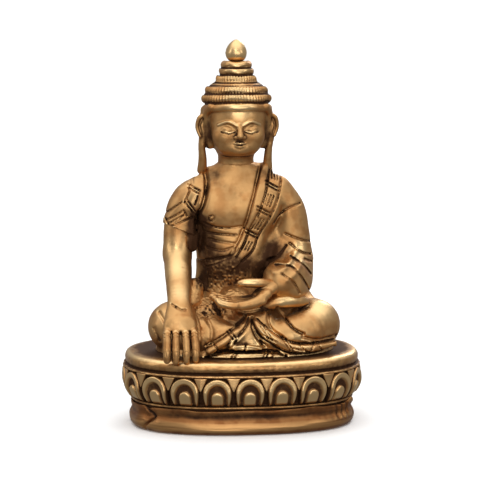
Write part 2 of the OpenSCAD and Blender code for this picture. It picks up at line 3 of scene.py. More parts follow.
import bpy
import numpy as np
import openvdb
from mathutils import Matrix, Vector


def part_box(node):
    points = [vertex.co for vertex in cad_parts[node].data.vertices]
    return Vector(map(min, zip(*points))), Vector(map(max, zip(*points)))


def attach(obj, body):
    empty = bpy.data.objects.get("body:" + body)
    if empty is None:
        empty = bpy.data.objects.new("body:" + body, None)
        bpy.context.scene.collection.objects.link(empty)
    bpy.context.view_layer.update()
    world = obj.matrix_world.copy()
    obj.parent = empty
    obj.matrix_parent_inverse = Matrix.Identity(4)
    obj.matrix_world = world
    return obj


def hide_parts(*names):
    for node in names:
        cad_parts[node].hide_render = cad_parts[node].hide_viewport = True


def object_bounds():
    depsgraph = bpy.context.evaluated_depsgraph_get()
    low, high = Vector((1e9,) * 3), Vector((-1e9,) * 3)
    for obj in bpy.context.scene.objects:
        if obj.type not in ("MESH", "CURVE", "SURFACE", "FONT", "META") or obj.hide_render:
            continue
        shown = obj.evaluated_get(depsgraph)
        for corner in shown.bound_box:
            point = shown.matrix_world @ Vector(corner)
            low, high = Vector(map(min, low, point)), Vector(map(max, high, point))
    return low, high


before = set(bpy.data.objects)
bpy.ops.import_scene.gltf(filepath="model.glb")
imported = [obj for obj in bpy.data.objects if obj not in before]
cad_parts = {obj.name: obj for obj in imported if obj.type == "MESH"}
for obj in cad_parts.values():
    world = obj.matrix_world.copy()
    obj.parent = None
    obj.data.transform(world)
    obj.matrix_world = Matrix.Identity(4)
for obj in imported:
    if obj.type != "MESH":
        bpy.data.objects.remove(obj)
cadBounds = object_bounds()
lowCorner, highCorner = cadBounds
millimetre = 0.001
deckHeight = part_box("pedestal")[1].z / millimetre
statueHeight = highCorner.z / millimetre
figureHeight = 72.5  # the figure is modelled this high, above the deck, and scaled to what the frame leaves
figureScale = (statueHeight - deckHeight) / figureHeight
axisX = -1.0
axisY = 3.4

view = {
    "azimuth": -6.0,
    "elevation": 8.0,
    "distance": 0.6,
    "frameWidth": 0.1127,  # width of the picture at the statue
    "aimAside": -0.00035,
    "aimDrop": 0.0019,
}


# Clay is a block of signed distances in millimetres. Shapes are joined to it or carved
# from it, and finishClay turns it into a skin.
class Clay:
    def __init__(self, low, high, cell):
        self.low = np.array(low, float)
        self.cell = cell
        counts = [int(math.ceil((high[i] - low[i]) / cell)) + 1 for i in range(3)]
        self.axes = [(low[i] + cell * np.arange(counts[i])).astype(np.float32) for i in range(3)]
        self.field = np.full(counts, 4.0, np.float32)

    def window(self, low, high, margin):
        cut = []
        for i in range(3):
            first = int((low[i] - margin - self.low[i]) / self.cell)
            last = int((high[i] + margin - self.low[i]) / self.cell) + 2
            cut.append(slice(max(first, 0), max(min(last, self.field.shape[i]), 0)))
        x = self.axes[0][cut[0]][:, None, None]
        y = self.axes[1][cut[1]][None, :, None]
        z = self.axes[2][cut[2]][None, None, :]
        return tuple(cut), x, y, z

    def join(self, cut, distance, blend):
        old = self.field[cut]
        new = np.minimum(old, distance)
        if blend:
            overlap = np.maximum(blend - np.abs(old - distance), 0)
            new -= overlap * overlap / (4 * blend)
        self.field[cut] = new

    def carve(self, cut, distance, blend):
        old = self.field[cut]
        new = np.maximum(old, -distance)
        if blend:
            overlap = np.maximum(blend - np.abs(old + distance), 0)
            new += overlap * overlap / (4 * blend)
        self.field[cut] = new

    def sample(self, points):
        place = (points - self.low) / self.cell
        limit = np.array(self.field.shape) - 1.001
        place = np.clip(place, 0, limit)
        base = place.astype(int)
        part = place - base
        total = np.zeros(len(points))
        for corner in range(8):
            step = np.array([corner & 1, corner >> 1 & 1, corner >> 2 & 1])
            weight = np.prod(np.where(step, part, 1 - part), axis=1)
            at = base + step
            total += weight * self.field[at[:, 0], at[:, 1], at[:, 2]]
        return total


def smoothPath(stations, steps=5):
    stations = np.array(stations, float)
    rows = []
    last = len(stations) - 1
    for i in range(last):
        a, b = stations[max(i - 1, 0)], stations[i]
        c, d = stations[i + 1], stations[min(i + 2, last)]
        for n in range(steps):
            t = n / steps
            rows.append(0.5 * (2 * b + (c - a) * t + (2 * a - 5 * b + 4 * c - d) * t * t
                               + (3 * b - a - 3 * c + d) * t ** 3))
    rows.append(stations[last])
    return np.array(rows)


def ellipsoidDistance(a, b, c, ra, rb, rc):
    k0 = np.sqrt((a / ra) ** 2 + (b / rb) ** 2 + (c / rc) ** 2)
    k1 = np.sqrt((a / ra ** 2) ** 2 + (b / rb ** 2) ** 2 + (c / rc ** 2) ** 2)
    return k0 * (k0 - 1) / np.maximum(k1, 1e-4)


def addLimb(clay, stations, side=(1, 0, 0), blend=0.8, steps=5, carve=False):
    # stations: x, y, z, half width along side, half thickness
    rows = smoothPath([s if len(s) == 5 else (*s, s[3]) for s in stations], steps)
    reach = 1.2 + blend
    size = rows[:, 3:].max()
    whole, *_ = clay.window((rows[:, :3] - size).min(0), (rows[:, :3] + size).max(0), reach)
    limb = np.full(clay.field[whole].shape, 4.0, np.float32)
    for start, end in zip(rows[:-1], rows[1:]):
        axis = end[:3] - start[:3]
        length = np.linalg.norm(axis)
        if length < 1e-6:
            continue
        axis /= length
        u = np.array(side, float) - np.dot(side, axis) * axis
        u /= np.linalg.norm(u)
        v = np.cross(axis, u)
        size = max(start[3:].max(), end[3:].max())
        low, high = np.minimum(start[:3], end[:3]) - size, np.maximum(start[:3], end[:3]) + size
        cut, x, y, z = clay.window(low, high, reach)
        if min(c.stop - c.start for c in cut) <= 0:
            continue
        dx, dy, dz = x - start[0], y - start[1], z - start[2]
        along = dx * axis[0] + dy * axis[1] + dz * axis[2]
        t = np.clip(along / length, 0, 1).astype(np.float32)
        past = along - t * length
        wide = start[3] + (end[3] - start[3]) * t
        thick = start[4] + (end[4] - start[4]) * t
        du = dx * u[0] + dy * u[1] + dz * u[2]
        dv = dx * v[0] + dy * v[1] + dz * v[2]
        part = ellipsoidDistance(du, dv, past, wide, thick, thick).astype(np.float32)
        inner = tuple(slice(c.start - w.start, c.stop - w.start) for c, w in zip(cut, whole))
        limb[inner] = np.minimum(limb[inner], part)
    (clay.carve if carve else clay.join)(whole, limb, blend)


def addBlob(clay, centre, radii, blend=0.8, turn=0.0, carve=False):
    # turn is about the Y axis, in degrees
    size = max(radii)
    cut, x, y, z = clay.window(np.array(centre) - size, np.array(centre) + size, 1.2 + blend)
    dx, dy, dz = x - centre[0], y - centre[1], z - centre[2]
    if turn:
        c, s = math.cos(math.radians(turn)), math.sin(math.radians(turn))
        dx, dz = dx * c + dz * s, dz * c - dx * s
    part = ellipsoidDistance(dx, dy, dz, *radii)
    (clay.carve if carve else clay.join)(cut, part.astype(np.float32), blend)


def addStack(clay, stations, blend=0.8, steps=5, power=2.0, carve=False):
    # level ovals: z, x, y, half width, half depth, with flat ends
    rows = smoothPath(stations, steps)
    low = [(rows[:, 1] - rows[:, 3]).min(), (rows[:, 2] - rows[:, 4]).min(), rows[0, 0]]
    high = [(rows[:, 1] + rows[:, 3]).max(), (rows[:, 2] + rows[:, 4]).max(), rows[-1, 0]]
    cut, x, y, z = clay.window(low, high, 1.2 + blend)
    cx, cy, rx, ry = (np.interp(z, rows[:, 0], rows[:, i]).astype(np.float32) for i in (1, 2, 3, 4))
    dx, dy = np.abs(x - cx), np.abs(y - cy)
    k0 = ((dx / rx) ** power + (dy / ry) ** power) ** (1 / power)
    k1 = np.sqrt((dx / rx ** 2) ** 2 + (dy / ry ** 2) ** 2)
    side = k0 * (k0 - 1) / np.maximum(k1, 1e-4)
    ends = np.maximum(rows[0, 0] - z, z - rows[-1, 0])
    (clay.carve if carve else clay.join)(cut, np.maximum(side, ends).astype(np.float32), blend)


def step01(value, width):
    t = np.clip(value / width + 0.5, 0, 1)
    return t * t * (3 - 2 * t)


# Relief is a map of depths over two of the clay's axes, taken off the faces turned one way.
class Relief:
    def __init__(self, clay, axes=(0, 2)):
        self.clay = clay
        self.axes = axes
        self.first, self.second = (clay.axes[i] for i in axes)
        self.depth = np.zeros((len(self.first), len(self.second)), np.float32)

    def away(self, points, steps=6):
        path = smoothPath(points, steps)
        a, b = self.first[:, None], self.second[None, :]
        best = np.full(self.depth.shape, 9.0, np.float32)
        for p, q in zip(path[:-1], path[1:]):
            run = q - p
            length = float(np.dot(run, run))
            if length < 1e-9:
                continue
            t = np.clip(((a - p[0]) * run[0] + (b - p[1]) * run[1]) / length, 0, 1)
            best = np.minimum(best, np.hypot(a - p[0] - t * run[0], b - p[1] - t * run[1]))
        return best

    def cut(self, points, width=0.5, depth=0.45, steps=6):
        self.depth += depth * np.exp(-(self.away(points, steps) / (width * 0.5)) ** 2)

    def cuts(self, lines, width=0.5, depth=0.45):
        for points in lines:
            self.cut(points, width, depth)

    def aside(self, points):
        # how far each place lies to the +X side of a line that runs up or down
        path = smoothPath(points, 8)
        path = path[np.argsort(path[:, 1])]
        return self.first[:, None] - np.interp(self.second, path[:, 1], path[:, 0])[None, :]

    def above(self, points):
        # how far each place lies above a line that runs across
        path = smoothPath(points, 8)
        path = path[np.argsort(path[:, 0])]
        return self.second[None, :] - np.interp(self.first, path[:, 0], path[:, 1])[:, None]

    def press(self, start, end):
        # full on one side of start along the third axis, and none past end
        third = 3 - sum(self.axes)
        fade = 1 - np.clip((self.clay.axes[third] - start) / (end - start), 0, 1)
        fade = fade * fade * (3 - 2 * fade)
        self.clay.field += np.expand_dims(self.depth, third) * np.expand_dims(fade, self.axes)


def castNoise(points, scale, seed, octaves=2):
    # value noise from a small lattice, the same on every run
    table = np.random.default_rng(seed).standard_normal((32, 32, 32))
    total = np.zeros(len(points))
    for octave in range(octaves):
        place = points * scale * 2 ** octave + 7.3 * octave
        base = np.floor(place).astype(int)
        part = place - base
        part = part * part * (3 - 2 * part)
        for corner in range(8):
            step = np.array([corner & 1, corner >> 1 & 1, corner >> 2 & 1])
            weight = np.prod(np.where(step, part, 1 - part), axis=1)
            at = (base + step) % 32
            total += weight * table[at[:, 0], at[:, 1], at[:, 2]] / 2 ** octave
    return total


def makePiece(name, points, faces, marks, material, smooth=True):
    mesh = bpy.data.meshes.new(name)
    mesh.from_pydata(np.asarray(points).tolist(), [], faces)
    for key, values in marks.items():
        layer = mesh.attributes.new(key, "FLOAT", "POINT")
        layer.data.foreach_set("value", np.asarray(values, np.float32))
    mesh.materials.append(material)
    piece = bpy.data.objects.new(name, mesh)
    bpy.context.scene.collection.objects.link(piece)
    if smooth:
        mesh.polygons.foreach_set("use_smooth", np.ones(len(mesh.polygons), bool))
    mesh.update()
    return piece


def vertexNormals(points, triangles):
    a, b, c = points[triangles[:, 0]], points[triangles[:, 1]], points[triangles[:, 2]]
    face = np.cross(b - a, c - a)
    normals = np.zeros_like(points)
    for i in range(3):
        for j in range(3):
            normals[:, j] += np.bincount(triangles[:, i], face[:, j], len(points))
    return normals / np.maximum(np.linalg.norm(normals, axis=1), 1e-12)[:, None]


def bakeModifiers(piece):
    graph = bpy.context.evaluated_depsgraph_get()
    mesh = bpy.data.meshes.new_from_object(
        piece.evaluated_get(graph), preserve_all_data_layers=True, depsgraph=graph)
    old = piece.data
    piece.modifiers.clear()
    piece.data = mesh
    bpy.data.meshes.remove(old)
    mesh.name = piece.name


def patches(points, spots):
    # soft round spots: x, y, z, radius, amount
    total = np.zeros(len(points))
    for x, y, z, radius, amount in spots:
        total += amount * np.exp(-((points - (x, y, z)) ** 2).sum(1) / radius ** 2)
    return total


def finishClay(clay, name, material, grain=0.012, lumps=0.16, most=185000, dirtAndShade=(), stipple=(), rubbedAndHighlit=(), grooveShade=None):
    grid = openvdb.FloatGrid(1.0)
    grid.copyFromArray(np.clip(clay.field / clay.cell, -3, 3).astype(np.float32), tolerance=0.0)
    points, triangles, quads = grid.convertToPolygons(isovalue=0.0, adaptivity=0.0)
    triangles = np.asarray(triangles).reshape(-1, 3)
    quads = np.asarray(quads).reshape(-1, 4)
    triangles = np.concatenate([triangles, quads[:, [0, 1, 2]], quads[:, [0, 2, 3]]]).astype(int)
    points = np.asarray(points, float) * clay.cell + clay.low
    normals = vertexNormals(points, triangles)
    if clay.sample(points + normals * 0.3).mean() < 0:  # the skin came out inside out
        triangles = triangles[:, ::-1]
        normals = -normals
    # painted shade: darker where the piece's own metal lies close outside the skin, like ambient occlusion; it also
    # stands for patina in the hollows, and becomes the recess mark
    shade = np.zeros(len(points))
    for reach, share in ((0.35, 0.4), (0.8, 0.35), (1.8, 0.25)):
        shade += share * np.clip(1 - clay.sample(points + normals * reach) / reach, 0, 1)
    # how far the skin stands out: wear on the high places, to which the spots below add painted highlights
    worn = np.clip(1 + clay.sample(points - normals * 0.45) / 0.45, 0, 1)
    rough = grain * castNoise(points, 1.1, 4) + lumps * np.clip(shade, 0, 0.7) ** 2 * castNoise(points, 1.9, 9)
    if stipple:
        punched = patches(points, stipple) * castNoise(points, 2.3, 13, 1)
        rough += 0.1 * punched
        shade -= 0.2 * punched
    if grooveShade:
        shade += grooveShade(points)
    # spots of painted shade in the deep places (between arms and body, at the waist, in the lap, under the chin, round
    # the ears), with some darker tone of the metal, added to the recess mark
    shade = np.clip(shade + patches(points, dirtAndShade), 0, 1)
    # spots of painted highlight, where the metal is also rubbed, make the high places brighter
    worn = np.clip(worn + patches(points, rubbedAndHighlit), 0, 1)
    points += normals * rough[:, None]
    points *= figureScale
    points[:, 2] += deckHeight
    piece = makePiece(name, points * millimetre, triangles.tolist(), {"recess": shade, "worn": worn}, material)
    count = len(triangles)
    if count > most:
        thin = piece.modifiers.new("thin", "DECIMATE")
        thin.ratio = most / count
        bakeModifiers(piece)
    print(name, "skin:", count, "triangles made,", len(piece.data.polygons), "kept")
    return piece


def addNode(tree, kind, links=(), **values):
    # values are sockets' own numbers by name, links are (socket, output) pairs
    node = tree.nodes.new(kind)
    for key, value in values.items():
        if key in node.inputs:
            node.inputs[key].default_value = value
        else:
            setattr(node, key, value)
    for socket, output in links:
        tree.links.new(output, node.inputs[socket])
    return node


def startMaterial(name):
    material = bpy.data.materials.new(name)
    material.use_nodes = True
    tree = material.node_tree
    shader = tree.nodes["Principled BSDF"]
    place = addNode(tree, "ShaderNodeTexCoord").outputs["Object"]
    return material, tree, shader, place


def noise(tree, place, scale, detail=3.0, stretch=None):
    if stretch:
        place = addNode(tree, "ShaderNodeMapping", [("Vector", place)], Scale=stretch).outputs["Vector"]
    made = addNode(tree, "ShaderNodeTexNoise", [("Vector", place)], Scale=scale, Detail=detail)
    return made.outputs["Fac"]


def ranged(tree, value, fromLow, fromHigh, toLow=0.0, toHigh=1.0):
    made = addNode(tree, "ShaderNodeMapRange", [(0, value)], interpolation_type="SMOOTHSTEP")
    for i, number in enumerate((fromLow, fromHigh, toLow, toHigh)):
        made.inputs[i + 1].default_value = number
    return made.outputs["Result"]


def combine(tree, operation, first, second):
    made = addNode(tree, "ShaderNodeMath", operation=operation)
    for i, value in enumerate((first, second)):
        if isinstance(value, (int, float)):
            made.inputs[i].default_value = value
        else:
            tree.links.new(value, made.inputs[i])
    return made.outputs[0]


def mixed(tree, factor, first, second):
    made = addNode(tree, "ShaderNodeMix", data_type="RGBA")
    tree.links.new(factor, made.inputs["Factor"])
    for socket, value in ((made.inputs[6], first), (made.inputs[7], second)):
        if isinstance(value, tuple):
            socket.default_value = (*value, 1.0)
        else:
            tree.links.new(value, socket)
    return made.outputs[2]


def bumped(tree, shader, height, strength, distance):
    made = addNode(tree, "ShaderNodeBump", [("Height", height)], Strength=strength, Distance=distance)
    tree.links.new(made.outputs["Normal"], shader.inputs["Normal"])


castBrass = {
    "bright": (0.82, 0.56, 0.27),
    "metal": (0.56, 0.315, 0.125),
    "warm": (0.47, 0.235, 0.085),
    "patinaAndShade": (0.062, 0.024, 0.008),
    "recessFrom": 0.22,  # how deep a place must lie before it turns dark
    "recessTo": 0.66,
    # the wear mark that sets this polish also carries painted highlight spots
    "polish": 0.24,  # roughness where it is rubbed bright
    "plain": 0.40,
    "dull": 0.62,
    "pits": 0.00005,
}
sheetBrass = {
    "bright": (0.60, 0.33, 0.13),
    "metal": (0.38, 0.18, 0.065),
    "warm": (0.24, 0.095, 0.032),
    "patinaAndShade": (0.035, 0.014, 0.006),
    "recessFrom": 0.22,
    "recessTo": 0.80,
    "polish": 0.34,
    "plain": 0.42,
    "dull": 0.62,
    "pits": 0.00004,
}
pinBrass = dict(castBrass, metal=(0.62, 0.42, 0.18), polish=0.28)


def brassMaterial(name, finish, streaks=None):
    material, tree, shader, place = startMaterial(name)
    recess = addNode(tree, "ShaderNodeAttribute", attribute_name="recess").outputs["Fac"]
    worn = addNode(tree, "ShaderNodeAttribute", attribute_name="worn").outputs["Fac"]
    blotch = noise(tree, place, 170.0, 3.0)
    grime = noise(tree, place, 900.0, 4.0)
    depth = combine(tree, "ADD", recess, combine(tree, "MULTIPLY", combine(tree, "SUBTRACT", blotch, 0.5), 0.30))
    depth = combine(tree, "ADD", depth, combine(tree, "MULTIPLY", combine(tree, "SUBTRACT", grime, 0.5), 0.34))
    dark = ranged(tree, depth, finish["recessFrom"], finish["recessTo"])
    warmth = ranged(tree, noise(tree, place, 320.0, 2.0), 0.46, 0.64)
    base = mixed(tree, warmth, finish["metal"], finish["warm"])
    # blend to the bright colour on high, rubbed places, which also carry painted highlights
    rubbedAndHighlit = ranged(tree, combine(tree, "SUBTRACT", worn, recess), 0.1, 0.75)
    base = mixed(tree, rubbedAndHighlit, base, finish["bright"])
    if streaks:
        lines = ranged(tree, noise(tree, place, 60.0, 4.0, streaks), 0.38, 0.66)
        base = mixed(tree, lines, base, finish["warm"])
    # the dark colour stands for patina in the hollows and for painted shade, both carried by the recess mark
    base = mixed(tree, dark, base, finish["patinaAndShade"])
    tree.links.new(base, shader.inputs["Base Color"])
    tree.links.new(ranged(tree, dark, 0.0, 1.0, 1.0, 0.8), shader.inputs["Metallic"])
    scuffs = noise(tree, place, 260.0, 4.0, (1.0, 1.0, 7.0))
    sheen = ranged(tree, worn, 0.05, 0.6, finish["plain"], finish["polish"])
    gloss = combine(tree, "ADD", combine(tree, "MAXIMUM", sheen, ranged(tree, dark, 0.2, 1.0, 0.0, finish["dull"])),
                    combine(tree, "MULTIPLY", scuffs, 0.14))
    tree.links.new(gloss, shader.inputs["Roughness"])
    height = combine(tree, "ADD", combine(tree, "MULTIPLY", noise(tree, place, 2600.0, 3.0), 0.7),
                     combine(tree, "MULTIPLY", noise(tree, place, 420.0, 2.0), 0.6))
    height = combine(tree, "ADD", height, combine(tree, "MULTIPLY", scuffs, 0.6))
    bumped(tree, shader, height, 0.55, finish["pits"])
    return material


def clothMaterial(name, first, second, pitch, roughness=0.85, sheen=0.3):
    # a plain weave: two crossed waves, over the cloth's own slow change of colour
    material, tree, shader, place = startMaterial(name)
    waves = []
    for axis in ("X", "Y"):
        wave = addNode(tree, "ShaderNodeTexWave", [("Vector", place)], bands_direction=axis, Scale=0.31 / pitch,
                       Distortion=0.6, Detail=1.0)
        waves.append(wave.outputs["Fac"])
    weave = combine(tree, "MAXIMUM", *waves)
    tone = combine(tree, "ADD", combine(tree, "MULTIPLY", weave, 0.5),
                   combine(tree, "MULTIPLY", noise(tree, place, 400.0), 0.6))
    tree.links.new(mixed(tree, ranged(tree, tone, 0.3, 0.8), first, second), shader.inputs["Base Color"])
    shader.inputs["Roughness"].default_value = roughness
    shader.inputs["Sheen Weight"].default_value = sheen
    bumped(tree, shader, weave, 0.6, pitch * 0.3)
    return material


def woodMaterial():
    material, tree, shader, place = startMaterial("juniper")
    grain = noise(tree, place, 90.0, 5.0, (6.0, 6.0, 0.5))
    rings = addNode(tree, "ShaderNodeTexWave", [("Vector", place)], wave_type="RINGS", rings_direction="Z",
                    Scale=420.0, Distortion=2.5, Detail=2.0).outputs["Fac"]
    tone = combine(tree, "ADD", combine(tree, "MULTIPLY", grain, 0.7), combine(tree, "MULTIPLY", rings, 0.4))
    colour = mixed(tree, ranged(tree, tone, 0.25, 0.8), (0.20, 0.085, 0.032), (0.50, 0.29, 0.13))
    tree.links.new(colour, shader.inputs["Base Color"])
    tree.links.new(ranged(tree, grain, 0.2, 0.8, 0.72, 0.5), shader.inputs["Roughness"])
    bumped(tree, shader, grain, 0.5, 0.00006)
    return material


def paperMaterial():
    material, tree, shader, place = startMaterial("paper")
    fibre = noise(tree, place, 700.0, 5.0, (1.0, 1.0, 0.25))
    stain = noise(tree, place, 120.0, 3.0)
    colour = mixed(tree, ranged(tree, fibre, 0.3, 0.7), (0.50, 0.38, 0.20), (0.72, 0.60, 0.38))
    colour = mixed(tree, ranged(tree, stain, 0.5, 0.8), colour, (0.42, 0.27, 0.12))
    tree.links.new(colour, shader.inputs["Base Color"])
    tree.links.new(ranged(tree, fibre, 0.2, 0.8, 0.95, 0.8), shader.inputs["Roughness"])
    bumped(tree, shader, fibre, 0.5, 0.00005)
    return material


def threadMaterial():
    material, tree, shader, place = startMaterial("thread")
    twist = addNode(tree, "ShaderNodeTexWave", [("Vector", place)], bands_direction="DIAGONAL", Scale=1500.0,
                    Distortion=0.8).outputs["Fac"]
    colour = mixed(tree, ranged(tree, twist, 0.1, 0.9), (0.22, 0.012, 0.010), (0.50, 0.035, 0.022))
    tree.links.new(colour, shader.inputs["Base Color"])
    tree.links.new(ranged(tree, twist, 0.0, 1.0, 0.8, 0.6), shader.inputs["Roughness"])
    bumped(tree, shader, twist, 0.7, 0.00006)
    return material


brass = brassMaterial("cast_brass", castBrass)
sheet = brassMaterial("sheet_brass", sheetBrass, streaks=(0.35, 0.35, 9.0))
pins = brassMaterial("pin_brass", pinBrass)
silk = clothMaterial("silk", (0.42, 0.15, 0.02), (0.72, 0.33, 0.05), 0.00018, roughness=0.5, sheen=0.6)
cotton = clothMaterial("cotton", (0.44, 0.34, 0.20), (0.66, 0.55, 0.37), 0.0003)
wood = woodMaterial()
paper = paperMaterial()
thread = threadMaterial()
print("materials made")

coarse = 1.0

torsoShape = {
    "cell": 0.16,
    "bandRise": 0.7,
    "robeRise": 0.4,
    "chest": [
        [9.6, -0.2, 3.2, 11.8, 7.8], [12, -0.3, 3.2, 11, 7.4], [19, -0.6, 3.2, 9.6, 6.4], [27, -0.8, 3.2, 10.3, 6.5],
        [34, -1, 3.3, 12.3, 6.6], [38.4, -1, 3.4, 11.4, 5.8], [41.2, -1, 3.4, 7.2, 5], [43.6, axisX, axisY, 4.3, 4.4],
    ],
    "hollow": [
        [5, 0, 3.4, 11, 6.2], [12, -0.3, 3.3, 8.6, 5], [19, -0.6, 3.3, 7.4, 4.2], [27, -0.8, 3.3, 8.2, 4.2],
        [33, -1, 3.3, 9, 4.2], [37.6, -1, 3.4, 4.4, 3.4],
    ],
    "innerEdge": [(5.1, 43.6), (4.7, 42.5), (3.5, 39), (1.85, 33.3), (0.9, 30), (-0.6, 26.4), (-1.7, 24.5),
                  (-2.75, 22.6), (-8, 21.3), (-14, 20.6)],
    "middleLine": [(6.8, 42.5), (5.8, 39), (4.1, 33.6), (2.1, 29.8), (0.15, 25.5), (-1.8, 22.3)],
    "outerEdge": [(9.4, 42.5), (9.2, 40.9), (9, 38.2), (7.55, 34.1), (5.6, 30.3), (3.5, 26.9), (2.1, 23.8),
                  (-0.5, 21.3), (-3, 19)],
    "rightEdge": [(-8.3, 44), (-8.9, 42.3), (-8.7, 38.9), (-9.9, 34.1), (-10.9, 32.2), (-11.2, 28)],
    "rightOuter": [(-11.8, 39.9), (-12.3, 37.5), (-13.5, 34.8)],
    # spots of painted shade in the armpits, at the waist and belly and between arm and body, with a little darker tone
    # on the chest: x, y, z, radius, amount
    "dirtAndShade": [(-10.6, -3, 30.5, 2.4, 1.0), (-10.4, -3, 26.5, 3.2, 0.9), (-8.4, -4, 24, 3, 0.4), (-4, -5, 20, 4.6, 0.5),
             (2, -6, 19.5, 4.4, 0.5), (-2, -4, 36, 7, 0.15), (-1, -4, 41, 4, 0.1), (7.6, -4, 23.6, 3.8, 0.6), (9.2, -3.6, 30, 2.4, 0.2), (5.2, -1, 42, 2.8, 0.5),
             (-6.8, -1, 41.6, 2.4, 0.6), (-11.6, -2, 22, 3, 0.7), (-10, -3, 17, 3, 0.5)],
    # spots of painted highlight, with rubbed wear, on the right shoulder and round the left sleeve's cuff
    "rubbedAndHighlit": [(-12.6, -0.5, 37, 3.5, 0.3), (13.6, -1.4, 24, 2.2, 0.7), (11.6, -3.6, 21.4, 2.4, 0.9), (9, -6.6, 19.6, 2, 0.8)],
    "stipple": [(-6, -6, 15.5, 5, 1), (-1, -7, 16, 4, 1), (-10, -5, 17, 3, 0.8)],
}


